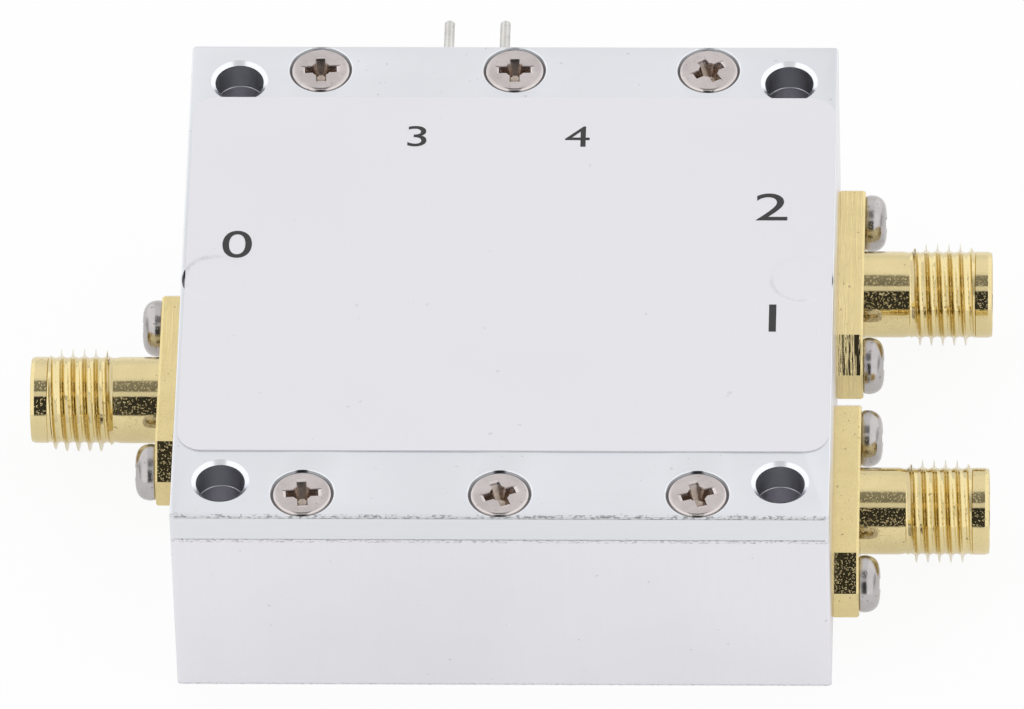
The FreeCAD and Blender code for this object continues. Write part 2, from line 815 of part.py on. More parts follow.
def make_solder():
    """Solder at the tails of the three contacts and of the two pins."""
    contact_saddle = make_saddle("contact_saddle", size.contact_radius)
    pin_saddle = make_saddle("pin_saddle", size.pin_radius)
    tails = [
        upright_spot(outwards(contact_end, left), y, size.jack_height, facing(left)) for _, left, y in JACKS
    ]
    pins = [upright_spot(x, pin_end, pin_height, 90) for _, x in PINS]
    group("solder_joints", copies_of(contact_saddle, tails) + copies_of(pin_saddle, pins))


def check_and_write():
    """Stop at anything that failed, then write each node to a file of its own."""
    document.recompute()
    for item in document.Objects:
        if "Invalid" in item.State or "Error" in item.State:
            raise RuntimeError(f"{item.Name} is {item.State}")
    os.makedirs("parts", exist_ok=True)
    for node in nodes:
        shape = node.Shape
        if shape.isNull() or not shape.isValid() or not shape.Solids:
            raise RuntimeError(f"{node.Label} has no sound solid")
    for node in nodes:
        node.Shape.exportStep(f"parts/{node.Label}.step")
        print(f"{node.Label}: {len(node.Shape.Solids)} solids, {node.Shape.Volume:.2f} mm3")


make_housing()
make_cover()
make_label()
make_cover_screws()
make_pan_screws()
make_jacks()
make_feedthroughs()
make_board()
make_tracks()
make_chip()
make_board_parts()
make_solder()
check_and_write()
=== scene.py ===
"""Coaxial antenna switch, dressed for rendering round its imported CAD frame.

Sizes are in millimetres here and in metres in the scene. +X points to the side with two jacks,
+Y to the supply pins and +Z up through the cover.
"""

import math

import bmesh
import bpy
from bpy.props import FloatProperty, FloatVectorProperty, PointerProperty
from mathutils import Matrix, Vector


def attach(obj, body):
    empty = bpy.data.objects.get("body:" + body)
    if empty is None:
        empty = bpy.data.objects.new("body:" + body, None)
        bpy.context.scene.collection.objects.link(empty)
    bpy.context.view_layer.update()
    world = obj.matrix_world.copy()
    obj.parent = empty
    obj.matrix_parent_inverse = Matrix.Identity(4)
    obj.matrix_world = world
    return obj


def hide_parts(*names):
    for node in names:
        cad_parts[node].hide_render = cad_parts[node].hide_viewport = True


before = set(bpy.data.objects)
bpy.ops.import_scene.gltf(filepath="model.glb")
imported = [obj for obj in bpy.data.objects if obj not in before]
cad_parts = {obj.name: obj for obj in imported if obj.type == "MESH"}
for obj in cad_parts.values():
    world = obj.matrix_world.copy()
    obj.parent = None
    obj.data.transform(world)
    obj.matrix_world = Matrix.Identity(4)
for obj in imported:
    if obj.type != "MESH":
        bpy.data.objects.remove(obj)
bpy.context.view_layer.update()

bl_info = {
    "name": "Coaxial antenna switch",
    "version": (1, 0, 0),
    "blender": (4, 5, 0),
    "location": "3D View > Sidebar > Switch",
    "description": "Makes the visible pieces of a small coaxial antenna switch",
    "category": "Object",
}

MM = 0.001
BODY = "root"
UP = Vector((0, 0, 1))

# Sizes that stay as the CAD has them, in millimetres
HALF = 20.0
BOX_TOP = 13.0
COVER_TOP = 15.0
WALL = 4.0
CAVITY_CORNER = 4.0
FLOOR_TOP = 2.48
MOUNTING_PLACE = 17.0
MOUNTING_RADIUS = 1.5
ROW_SCREW_Y = 18.0
SIDE_SCREW_X = 18.0
SCREW_PITCH = 12.0
SCREW_RADIUS = 1.0
TAPPED_RADIUS = 1.03
TAPPED_FOOT = 9.9
THROUGH_RADIUS = 1.1
COUNTERSINK_RADIUS = 1.98
# Drop of a mounting hole's mouth for each millimetre of its width
MOUTH_SLOPE = 0.75
JACK_HEIGHT = 4.2
FLANGE_THICKNESS = 1.65
FLANGE_HALF_LENGTH = 7.94
FLANGE_HALF_WIDTH = 2.83
FLANGE_CORNER = 1.78
FLANGE_BEVEL = 0.14
FLANGE_HOLE_OFFSET = 6.11
FLANGE_HOLE_DEPTH = 1.45
SOCKET_RADIUS = 2.3
INSULATOR_RADIUS = 2.05
PRESS_GAP = 0.01
CONTACT_RADIUS = 0.635
CONTACT_BORE = 0.47
REFERENCE_PLANE = 7.65
JACK_REACH = 9.55
PIN_HEIGHT = 3.885
PIN_RADIUS = 0.32
PIN_TAIL = 6.5
EYELET_RADIUS = 1.25
EYELET_DEPTH = 3.0
# Each jack: the side of the box (-1 left, 1 right) and its place along Y
JACKS = {"common": (-1, 0.0), "port_one": (1, -9.2), "port_two": (1, 9.2)}
# Cover screws: place and the turn of the recess, in degrees
COVER_SCREWS = [
    (-SCREW_PITCH, ROW_SCREW_Y, 3), (0.0, ROW_SCREW_Y, 1), (SCREW_PITCH, ROW_SCREW_Y, 30),
    (-SCREW_PITCH, -ROW_SCREW_Y, 4), (0.0, -ROW_SCREW_Y, 21), (SCREW_PITCH, -ROW_SCREW_Y, 17),
    (-SIDE_SCREW_X, 0.0, 12), (SIDE_SCREW_X, 0.0, 38),
]
PINS = {"supply": -1.2, "control": -4.7}
PIN_REACH = 12.95
# Where finishes change, in millimetres: the box's sides, and the bevels of the holes in the cover. The
# cover's sides and bevels take a painted highlight, and the row screws' bevels take painted shade below a
# height
SIDE_FROM = 19.93
BEVEL_LOW, BEVEL_HIGH, BEVEL_OUTSIDE = 14.7, 14.992, 19.85
SCREW_SEAT_TOP, SCREW_ROW_END = 14.955, 14.5
# Where the coupling thread's middle lies, and how far from it the barrel is plain again
THREAD_MIDDLE, THREAD_SIDE = 26.5, 2.0
# Rows of the thread's mesh in one pitch, and facets round the barrel
THREAD_ROWS = 44
BARREL_FACETS = 120
# Steps round a hole or a small turned piece
HOLE_STEPS = 48
WHITE = (1.0, 1.0, 1.0, 1.0)


# Settings

def length(name, description, millimetres):
    """A length property, shown in the scene's units."""
    return FloatProperty(
        name=name, description=description, default=millimetres * MM,
        min=0.0, precision=5, unit="LENGTH", subtype="DISTANCE",
    )


def colour(name, description, rgb):
    """A colour property in linear light."""
    return FloatVectorProperty(
        name=name, description=description, default=rgb, min=0.0, max=1.0, size=3, subtype="COLOR",
    )


class BoxSizes(bpy.types.PropertyGroup):
    """Sizes of the milled box and its cover."""

    edge_chamfer: length("Edge chamfer", "Chamfer along the box's and the cover's edges", 0.07)
    seam_chamfer: length("Seam chamfer", "Chamfer where the cover meets the box", 0.045)
    corner_rounding: length("Corner rounding", "Radius of the upright corners", 0.25)
    mouth_chamfer: length("Mouth chamfer", "Chamfer round the mounting holes' mouths", 0.27)
    label_dent: length("Label dent", "How far the label sinks over the two hidden screws", 0.07)


class JackSizes(bpy.types.PropertyGroup):
    """Sizes of the coaxial jacks."""

    crest_radius: length("Crest radius", "Outside radius of the coupling thread", 3.16)
    root_radius: length("Root radius", "Radius at the bottom of the thread", 2.60)
    pitch: length("Pitch", "Distance from one thread crest to the next", 0.7056)
    neck_radius: length("Neck radius", "Radius of the plain neck and nose", 2.665)
    thread_start: length("Thread start", "From the box's face to the first thread", 4.45)
    thread_length: length("Thread length", "Length of the threaded part", 4.1)


class ScrewSizes(bpy.types.PropertyGroup):
    """Sizes of the cross recess in the screw heads."""

    recess_reach: length("Recess reach", "From the middle of the head to the end of an arm", 1.27)
    recess_width: length("Recess width", "Width of an arm at the head's top", 0.62)
    recess_depth: length("Recess depth", "Depth of the recess", 0.95)


class Finishes(bpy.types.PropertyGroup):
    """Colours of the main surfaces."""

    aluminium: colour("Aluminium", "Milled box", (0.85, 0.842, 0.885))
    cover: colour("Cover", "Cover plate", (0.74, 0.755, 0.79))
    label: colour("Label", "Label film", (0.80, 0.79, 0.83))
    ink: colour("Ink", "Printed numerals", (0.028, 0.025, 0.027))
    gold: colour("Gold plating", "Jack shells", (0.77, 0.645, 0.345))
    nickel: colour("Nickel", "Screws", (0.55, 0.505, 0.495))


# Node trees

class Wiring:
    """Adds and joins the nodes of one tree."""

    def __init__(self, tree):
        self.tree = tree

    def add(self, kind, inputs=None, **settings):
        """A node with its settings made and its inputs joined or filled in."""
        node = self.tree.nodes.new(kind)
        for key, value in settings.items():
            setattr(node, key, value)
        for key, value in (inputs or {}).items():
            if isinstance(value, bpy.types.NodeSocket):
                self.tree.links.new(value, node.inputs[key])
            else:
                node.inputs[key].default_value = value
        return node

    def math(self, operation, *values, clamp=False):
        """The output of a Math node."""
        inputs = dict(enumerate(values))
        return self.add("ShaderNodeMath", inputs, operation=operation, use_clamp=clamp).outputs[0]

    def rescale(self, value, low, high, to_low=0.0, to_high=1.0, smooth=False):
        """The output of a Map Range node."""
        kind = "SMOOTHSTEP" if smooth else "LINEAR"
        inputs = {
            "Value": value, "From Min": low, "From Max": high, "To Min": to_low, "To Max": to_high,
        }
        return self.add("ShaderNodeMapRange", inputs, interpolation_type=kind).outputs["Result"]

    def blend(self, factor, first, second):
        """The output of a Mix node between two colours."""
        inputs = {0: factor, 6: first, 7: second}
        return self.add("ShaderNodeMix", inputs, data_type="RGBA").outputs[2]

    def noise(self, vector, scale, detail=2.0, roughness=0.5):
        """The value of a Noise Texture."""
        inputs = {"Vector": vector, "Scale": scale, "Detail": detail, "Roughness": roughness}
        return self.add("ShaderNodeTexNoise", inputs).outputs["Fac"]

    def stretched(self, vector, scale):
        """A vector scaled along each axis, to draw a pattern out."""
        return self.add("ShaderNodeMapping", {"Vector": vector, "Scale": scale}).outputs["Vector"]


def new_group(name, inputs, outputs, kind="ShaderNodeTree"):
    """The wiring of an empty node group with named sockets, and its inside ends."""
    group = bpy.data.node_groups.new(name, kind)
    for label, socket_type, default in inputs:
        socket = group.interface.new_socket(name=label, in_out="INPUT", socket_type=socket_type)
        if default is not None:
            socket.default_value = default
    for label, socket_type in outputs:
        group.interface.new_socket(name=label, in_out="OUTPUT", socket_type=socket_type)
    wiring = Wiring(group)
    return wiring, wiring.add("NodeGroupInput").outputs, wiring.add("NodeGroupOutput").inputs


def wire(wiring, source, target):
    """Join two sockets."""
    wiring.tree.links.new(source, target)


def make_grain_group():
    """Fine drawn-out lines, as a cutter or brush leaves them."""
    w, given, result = new_group("grain", [
        ("Vector", "NodeSocketVector", None),
        ("Fineness", "NodeSocketFloat", 3000.0),
        ("Draw", "NodeSocketVector", (1.0, 1.0, 1.0)),
    ], [("Height", "NodeSocketFloat"), ("Shade", "NodeSocketFloat")])
    both = {0: given["Vector"], 1: given["Draw"]}
    drawn = w.add("ShaderNodeVectorMath", both, operation="MULTIPLY").outputs[0]
    fine = w.noise(drawn, given["Fineness"], 3.0, 0.62)
    broad = w.noise(drawn, w.math("MULTIPLY", given["Fineness"], 0.13), 2.0, 0.5)
    height = w.math("ADD", w.math("MULTIPLY", fine, 0.7), w.math("MULTIPLY", broad, 0.3))
    wire(w, height, result["Height"])
    wire(w, w.rescale(w.math("ADD", fine, broad), 0.7, 1.3), result["Shade"])


def make_blotch_group():
    """Large soft patches of handling and oxide."""
    w, given, result = new_group("blotches", [
        ("Vector", "NodeSocketVector", None),
        ("Scale", "NodeSocketFloat", 90.0),
        ("Spread", "NodeSocketFloat", 0.2),
    ], [("Mask", "NodeSocketFloat")])
    first = w.noise(given["Vector"], given["Scale"], 4.0, 0.6)
    low = w.math("SUBTRACT", 0.5, given["Spread"])
    high = w.math("ADD", 0.5, given["Spread"])
    wire(w, w.rescale(first, low, high, smooth=True), result["Mask"])


def make_pit_group():
    """Sparse small pits and specks of dust."""
    w, given, result = new_group("pits", [
        ("Vector", "NodeSocketVector", None),
        ("Scale", "NodeSocketFloat", 2000.0),
        ("Rarity", "NodeSocketFloat", 0.7),
    ], [("Mask", "NodeSocketFloat")])
    fine = w.noise(given["Vector"], given["Scale"], 1.0, 0.5)
    top = w.math("ADD", given["Rarity"], 0.05)
    wire(w, w.rescale(fine, given["Rarity"], top, smooth=True), result["Mask"])


def make_level_band_group():
    """A ragged mask along the front at one height, as a chattering cutter leaves it."""
    w, given, result = new_group("level_band", [
        ("Vector", "NodeSocketVector", None),
        ("Height", "NodeSocketFloat", 0.013),
        ("Reach", "NodeSocketFloat", 0.0003),
        ("Ragged", "NodeSocketFloat", 0.5),
        ("Edge", "NodeSocketFloat", 0.0198),
    ], [("Mask", "NodeSocketFloat"), ("Height", "NodeSocketFloat")])
    place = w.add("ShaderNodeSeparateXYZ", {0: given["Vector"]})
    away = w.math("ABSOLUTE", w.math("SUBTRACT", place.outputs[2], given["Height"]))
    outward = w.math("MULTIPLY", place.outputs[1], -1.0)
    level = w.rescale(w.math("DIVIDE", away, given["Reach"]), 1.0, 0.5)
    band = w.math("MULTIPLY", level, w.math("GREATER_THAN", outward, given["Edge"]))
    chatter = w.noise(w.stretched(given["Vector"], (1.0, 1.0, 2.4)), 3600.0, 2.0, 0.6)
    low = w.math("SUBTRACT", 0.66, w.math("MULTIPLY", given["Ragged"], 0.25))
    broken = w.rescale(chatter, low, w.math("ADD", low, 0.06))
    wire(w, w.math("MULTIPLY", band, broken, clamp=True), result["Mask"])
    wire(w, w.math("MULTIPLY", band, chatter), result["Height"])


def make_dent_shade_group():
    """Painted shade: a soft grey arc on one side of each hidden screw's rim, where the film dips over it.
    """
    w, given, result = new_group("screw_mark", [
        ("Vector", "NodeSocketVector", None),
        ("Place", "NodeSocketFloat", SIDE_SCREW_X * MM),
        ("Radius", "NodeSocketFloat", 1.8 * MM),
        ("Width", "NodeSocketFloat", 0.2 * MM),
    ], [("Mask", "NodeSocketFloat")])
    place = w.add("ShaderNodeSeparateXYZ", {0: given["Vector"]}).outputs
    side = w.math("SIGN", place[0])
    across = w.math("SUBTRACT", place[0], w.math("MULTIPLY", side, given["Place"]))
    squares = [w.math("MULTIPLY", across, across), w.math("MULTIPLY", place[1], place[1])]
    from_middle = w.math("SQRT", w.math("ADD", *squares))
    away = w.math("ABSOLUTE", w.math("SUBTRACT", from_middle, given["Radius"]))
    ring = w.rescale(w.math("DIVIDE", away, given["Width"]), 1.0, 0.2, smooth=True)
    aslant = w.math("ADD", across, w.math("MULTIPLY", place[1], side))
    arc = w.rescale(w.math("DIVIDE", aslant, given["Radius"]), -0.4, -1.3, smooth=True)
    patchy = w.rescale(w.noise(given["Vector"], 1400.0, 3.0, 0.6), 0.35, 0.75)
    painted_arc = w.math("MULTIPLY", w.math("MULTIPLY", ring, arc), w.math("MULTIPLY", patchy, 0.7))
    wire(w, painted_arc, result["Mask"])


def new_material(name, roughness, metallic=0.0, **constants):
    """The wiring, shader and Object coordinates of a new material with one Principled shader."""
    material = bpy.data.materials.new(f"{name}_finish")
    material.use_nodes = True
    tree = material.node_tree
    shader = tree.nodes["Principled BSDF"]
    shader.inputs["Roughness"].default_value = roughness
    shader.inputs["Metallic"].default_value = metallic
    for key, value in constants.items():
        shader.inputs[key.replace("_", " ")].default_value = value
    w = Wiring(tree)
    return w, shader, w.add("ShaderNodeTexCoord").outputs["Object"]


def use_group(w, name, **inputs):
    """A placed shader group with its inputs set."""
    return w.add("ShaderNodeGroup", inputs, node_tree=bpy.data.node_groups[name]).outputs


def bump(w, shader, height):
    """Feed a height in millimetres to the shader's normal."""
    node = w.add("ShaderNodeBump", {"Height": height, "Distance": MM, "Strength": 1.0})
    wire(w, node.outputs["Normal"], shader.inputs["Normal"])


def rgba(rgb, factor=1.0):
    """A colour with full alpha, made lighter or darker."""
    return (*(channel * factor for channel in rgb), 1.0)


# Ragged bands along the front, in metres: height, half width, raggedness and darkness
TOP_BAND = (0.01496, 0.00013, 0.6, 0.7)
SEAM_BAND = (0.01288, 0.00019, 0.56, 0.5)
BASE_BAND = (0.00005, 0.00015, 0.4, 0.4)


def milled_metal(name, rgb, levels, draw, roughness, side_highlight=0.0):
    """Bare milled aluminium: cutter lines, pits, ragged front edges; a painted highlight on the hole bevels
    and on the cover's sides, and painted shade in the screw seats.
    """
    w, shader, place = new_material(name, roughness, 1.0)
    grain = use_group(w, "grain", Vector=place, Fineness=2600.0, Draw=draw)
    patches = use_group(w, "blotches", Vector=place, Scale=75.0, Spread=0.22)["Mask"]
    pits = use_group(w, "pits", Vector=place, Scale=2300.0, Rarity=0.74)["Mask"]
    tone = w.blend(patches, rgba(rgb, 0.975), rgba(rgb, 1.015))
    tone = w.blend(w.math("MULTIPLY", grain["Shade"], 0.18), tone, rgba(rgb, 0.92))
    tone = w.blend(w.math("MULTIPLY", pits, 0.35), tone, rgba(rgb, 0.5))
    hollows = w.math("MULTIPLY", pits, 0.003)
    height = w.math("SUBTRACT", w.math("MULTIPLY", grain["Height"], 0.002), hollows)
    rough = w.math("ADD", w.math("MULTIPLY", patches, 0.07), roughness - 0.03)
    places = w.add("ShaderNodeSeparateXYZ", {0: place}).outputs
    outward = w.math("MAXIMUM", w.math("ABSOLUTE", places[0]), w.math("ABSOLUTE", places[1]))
    # Painted highlight: the cover's sides are blended towards white, so they show lighter than its top.
    side = w.math("GREATER_THAN", outward, SIDE_FROM * MM)
    tone = w.blend(w.math("MULTIPLY", side, side_highlight), tone, WHITE)
    below_top = w.math("MULTIPLY", w.math("GREATER_THAN", places[2], BEVEL_LOW * MM),
                       w.math("LESS_THAN", places[2], BEVEL_HIGH * MM))
    bevel = w.math("MULTIPLY", below_top, w.math("LESS_THAN", outward, BEVEL_OUTSIDE * MM))
    # Painted highlight: the bevels of the holes in the cover are made a tenth lighter. Their lower
    # roughness below is real.
    tone = w.blend(bevel, tone, rgba(rgb, 1.1))
    # Painted shade: the countersinks of the row screws are darkened below the heads' rims, where the gap
    # lies in shade.
    in_row = w.math("LESS_THAN", w.math("ABSOLUTE", places[0]), SCREW_ROW_END * MM)
    seat_shade = w.math("MULTIPLY", in_row, w.math("LESS_THAN", places[2], SCREW_SEAT_TOP * MM))
    tone = w.blend(w.math("MULTIPLY", bevel, seat_shade), tone, rgba(rgb, 0.4))
    rough = w.math("SUBTRACT", rough, w.math("MULTIPLY", bevel, roughness - 0.16))
    for level, reach, ragged, depth in levels:
        band = use_group(w, "level_band", Vector=place, Height=level, Reach=reach, Ragged=ragged)
        tone = w.blend(w.math("MULTIPLY", band["Mask"], depth), tone, rgba(rgb, 0.3))
        height = w.math("SUBTRACT", height, w.math("MULTIPLY", band["Height"], 0.05))
    wire(w, tone, shader.inputs["Base Color"])
    wire(w, rough, shader.inputs["Roughness"])
    bump(w, shader, height)


def make_label_material(name, rgb):
    """Satin white film with a faint orange peel and soft patches, and painted shade in an arc over each
    hidden screw's rim.
    """
    w, shader, place = new_material(name, 0.42)
    patches = use_group(w, "blotches", Vector=place, Scale=60.0, Spread=0.25)["Mask"]
    specks = use_group(w, "pits", Vector=place, Scale=1500.0, Rarity=0.775)["Mask"]
    tone = w.blend(patches, rgba(rgb, 0.99), rgba(rgb, 1.01))
    tone = w.blend(w.math("MULTIPLY", specks, 0.3), tone, rgba(rgb, 0.55))
    # Painted shade where the film slopes into the dents over the two hidden screws.
    tone = w.blend(use_group(w, "screw_mark", Vector=place)["Mask"], tone, rgba(rgb, 0.6))
    wire(w, tone, shader.inputs["Base Color"])
    wire(w, w.rescale(patches, 0.0, 1.0, 0.38, 0.47), shader.inputs["Roughness"])
    bump(w, shader, w.math("MULTIPLY", w.noise(place, 1300.0, 2.0, 0.5), 0.004))


def make_gold_material(name, rgb):
    """Bright gold plating, with file lines round the flange's rim and dents on the barrel."""
    w, shader, place = new_material(name, 0.07, 1.0)
    places = w.add("ShaderNodeSeparateXYZ", {0: place}).outputs
    along = w.math("ABSOLUTE", places[0])
    on_flange = w.math("LESS_THAN", along, (HALF + FLANGE_THICKNESS + 0.005) * MM)
    filed = w.math("MULTIPLY", on_flange, w.rescale(places[1], 0.3 * MM, 1.3 * MM))
    from_thread = w.math("ABSOLUTE", w.math("SUBTRACT", along, THREAD_MIDDLE * MM))
    off_thread = w.rescale(from_thread, THREAD_SIDE * MM, (THREAD_SIDE + 0.2) * MM)
    plain = w.math("MULTIPLY", w.math("SUBTRACT", 1.0, filed), off_thread)
    lines = use_group(w, "grain", Vector=place, Fineness=4600.0, Draw=(1.0, 0.05, 0.05))
    figure = use_group(w, "grain", Vector=place, Fineness=1300.0, Draw=(1.0, 0.16, 0.16))
    peel = use_group(w, "grain", Vector=place, Fineness=4200.0, Draw=(1.0, 1.0, 1.0))
    patches = use_group(w, "blotches", Vector=place, Scale=420.0, Spread=0.2)["Mask"]
    dents = use_group(w, "pits", Vector=place, Scale=8500.0, Rarity=0.62)["Mask"]
    pits = use_group(w, "pits", Vector=place, Scale=3200.0, Rarity=0.74)["Mask"]
    tone = w.blend(patches, rgba(rgb, 0.95), rgba(rgb, 1.03))
    figured = w.math("MULTIPLY", w.math("MULTIPLY", figure["Shade"], on_flange), 0.3)
    tone = w.blend(figured, tone, (rgb[0] * 0.84, rgb[1] * 0.76, rgb[2] * 0.5, 1.0))
    tone = w.blend(w.math("MULTIPLY", pits, 0.5), tone, rgba(rgb, 0.25))
    wire(w, tone, shader.inputs["Base Color"])
    rough = w.math("ADD", 0.05, w.math("MULTIPLY", w.math("ADD", pits, on_flange), 0.04))
    wire(w, rough, shader.inputs["Roughness"])
    grooves = w.rescale(lines["Height"], 0.45, 0.55, smooth=True)
    rim = w.math("MULTIPLY", w.math("MULTIPLY", grooves, filed), 0.018)
    skin = w.math("MULTIPLY", w.math("MULTIPLY", dents, plain), 0.014)
    hollows = w.math("MULTIPLY", pits, 0.02)
    soft = w.math("SUBTRACT", w.math("MULTIPLY", peel["Height"], 0.004), hollows)
    bump(w, shader, w.math("ADD", w.math("SUBTRACT", rim, skin), soft))


def plated(name, rgb, roughness, fineness, depth, worn, recess_top=None):
    """Bright plating with ripple and specks; a recess below a height is brown, with a band of painted shade
    at its top edge and a painted highlight just above it.
    """
    w, shader, place = new_material(name, roughness, 1.0)
    grain = use_group(w, "grain", Vector=place, Fineness=fineness, Draw=(1.0, 1.0, 1.0))
    patches = use_group(w, "blotches", Vector=place, Scale=700.0, Spread=0.2)["Mask"]
    pits = use_group(w, "pits", Vector=place, Scale=4200.0, Rarity=0.68)["Mask"]
    tone = w.blend(patches, rgba(rgb, 0.9), rgba(rgb, 1.06))
    tone = w.blend(w.math("MULTIPLY", pits, worn), tone, rgba(rgb, 0.35))
    rough = w.math("ADD", w.math("MULTIPLY", grain["Shade"], 0.1), roughness - 0.05)
    if recess_top is not None:
        above = w.add("ShaderNodeSeparateXYZ", {0: place}).outputs[2]
        sunk = w.rescale(above, recess_top * MM, (recess_top - 0.45) * MM)
        tone = w.blend(sunk, tone, (rgb[0] * 0.92, rgb[1] * 0.84, rgb[2] * 0.74, 1.0))
        rough = w.math("ADD", rough, w.math("MULTIPLY", sunk, 0.14))
        # Painted shade: a dark band just below the recess's top, along the head's rim in the countersink's
        # gap and round the cross.
        away = w.math("ABSOLUTE", w.math("SUBTRACT", above, (recess_top - 0.06) * MM))
        tone = w.blend(w.rescale(away, 0.06 * MM, 0.04 * MM, 0.0, 0.55), tone, rgba(rgb, 0.3))
        # Painted highlight: a lighter band just above the recess's top.
        away = w.math("ABSOLUTE", w.math("SUBTRACT", above, (recess_top + 0.03) * MM))
        tone = w.blend(w.rescale(away, 0.03 * MM, 0.025 * MM), tone, rgba(rgb, 1.2))
    wire(w, tone, shader.inputs["Base Color"])
    wire(w, w.math("ADD", rough, w.math("MULTIPLY", pits, 0.25)), shader.inputs["Roughness"])
    ripple = w.math("SUBTRACT", grain["Height"], w.math("MULTIPLY", pits, 0.4))
    bump(w, shader, w.math("MULTIPLY", ripple, depth))


def plain_finish(name, rgb, roughness, metallic=0.0, scale=900.0, depth=0.004, **constants):
    """A small part's finish: slight colour change, a fine texture and even gloss."""
    w, shader, place = new_material(name, roughness, metallic, **constants)
    patches = use_group(w, "blotches", Vector=place, Scale=scale, Spread=0.25)["Mask"]
    wire(w, w.blend(patches, rgba(rgb, 0.9), rgba(rgb, 1.06)), shader.inputs["Base Color"])
    rough = w.rescale(patches, 0.0, 1.0, max(roughness - 0.06, 0.02), min(roughness + 0.08, 1.0))
    wire(w, rough, shader.inputs["Roughness"])
    bump(w, shader, w.math("MULTIPLY", w.noise(place, scale * 4, 2.0, 0.5), depth))


def make_materials(finishes):
    """Make the shared groups and every material of the object."""
    for maker in (make_grain_group, make_blotch_group, make_pit_group, make_level_band_group,
                  make_dent_shade_group):
        maker()
    nickel = finishes.nickel[:]
    milled_metal("milled_box", finishes.aluminium[:], [SEAM_BAND, BASE_BAND], (1.0, 1.0, 0.08), 0.36)
    # The last number is the painted highlight on the cover's sides.
    milled_metal("cover_plate", finishes.cover[:], [TOP_BAND], (0.07, 1.0, 1.0), 0.34, 0.22)
    make_label_material("label_film", finishes.label[:])
    plain_finish("ink", finishes.ink[:], 0.55, scale=1200.0)
    make_gold_material("gold_plate", finishes.gold[:])
    plated("nickel_screw", (0.50, 0.475, 0.47), 0.19, 2200.0, 0.014, 0.5)
    # The last number is the height below which the screws turn brown, with the painted shade and highlight
    # bands at it.
    plated("nickel_countersunk", nickel, 0.15, 2600.0, 0.008, 0.3, 14.925)
    plated("tinned_wire", (0.66, 0.65, 0.62), 0.22, 1500.0, 0.008, 0.3)
    plain_finish("insulator", (0.80, 0.80, 0.77), 0.45, scale=500.0)
    plain_finish("glass_bead", (0.05, 0.11, 0.10), 0.12, scale=600.0, Coat_Weight=0.5)
    plain_finish("board_laminate", (0.02, 0.09, 0.035), 0.35, Coat_Weight=0.3)
    plain_finish("track_copper", (0.83, 0.60, 0.30), 0.28, 1.0)
    plain_finish("chip_mould", (0.018, 0.018, 0.02), 0.62, scale=3000.0)
    plain_finish("capacitor_ceramic", (0.30, 0.19, 0.10), 0.5)
    plain_finish("resistor_ceramic", (0.02, 0.02, 0.02), 0.4)
    plain_finish("solder", (0.62, 0.63, 0.64), 0.2, 1.0)


# Mesh helpers

def new_object(name, mesh):
    """An object at the origin for a mesh."""
    item = bpy.data.objects.new(name, mesh)
    bpy.context.scene.collection.objects.link(item)
    return item


def from_bmesh(name, shape):
    """An object from a bmesh drawn in millimetres."""
    bmesh.ops.recalc_face_normals(shape, faces=shape.faces)
    mesh = bpy.data.meshes.new(name)
    shape.to_mesh(mesh)
    shape.free()
    return new_object(name, mesh)


def moved(item, matrix):
    """Put a matrix into an object's mesh."""
    item.data.transform(matrix)
    item.data.update()
    return item


def copied(item, name):
    """A second object with a mesh of its own."""
    return new_object(name, item.data.copy())


def discard(items):
    """Delete helper objects and their meshes."""
    for item in items:
        mesh = item.data
        bpy.data.objects.remove(item)
        if mesh is not None and mesh.users == 0:
            bpy.data.meshes.remove(mesh)


def settled(item):
    """Turn an object's modifiers into its plain mesh."""
    graph = bpy.context.evaluated_depsgraph_get()
    graph.update()
    mesh = bpy.data.meshes.new_from_object(item.evaluated_get(graph))
    mesh.name = item.name
    item.modifiers.clear()
    old = item.data
    item.data = mesh
    bpy.data.meshes.remove(old)


def joined(name, items):
    """One object that holds the meshes of several."""
    shape = bmesh.new()
    for item in items:
        shape.from_mesh(item.data)
    mesh = bpy.data.meshes.new(name)
    shape.to_mesh(mesh)
    shape.free()
    discard(items)
    return new_object(name, mesh)


def carved(item, cutters):
    """Cut each cutter from an object with an exact solid operation."""
    for cutter in cutters:
        modifier = item.modifiers.new("carve", "BOOLEAN")
        modifier.operation = "DIFFERENCE"
        modifier.solver = "EXACT"
        modifier.object = cutter
    faces_before = len(item.data.polygons)
    settled(item)
    if len(item.data.polygons) <= faces_before // 2:
        raise RuntimeError(f"{item.name} lost its faces")
    discard(cutters)
    return item


def prism(name, levels, half_x, half_y, rounding, steps=6):
    """A solid with a rounded rectangular outline, drawn in by an inset at each level of Z."""
    shape = bmesh.new()
    rings = []
    for z, inset in levels:
        x, y = half_x - inset, half_y - inset
        radius = max(rounding - inset, 0.02)
        ring = []
        for corner, (side_x, side_y) in enumerate(((1, 1), (-1, 1), (-1, -1), (1, -1))):
            for step in range(steps + 1):
                angle = math.pi / 2 * (corner + step / steps)
                ring.append(shape.verts.new((
                    side_x * (x - radius) + radius * math.cos(angle),
                    side_y * (y - radius) + radius * math.sin(angle), z,
                )))
        rings.append(ring)
    count = len(rings[0])
    for low, high in zip(rings, rings[1:]):
        for i in range(count):
            j = (i + 1) % count
            shape.faces.new((low[i], low[j], high[j], high[i]))
    shape.faces.new(list(reversed(rings[0])))
    shape.faces.new(rings[-1])
    return from_bmesh(name, shape)


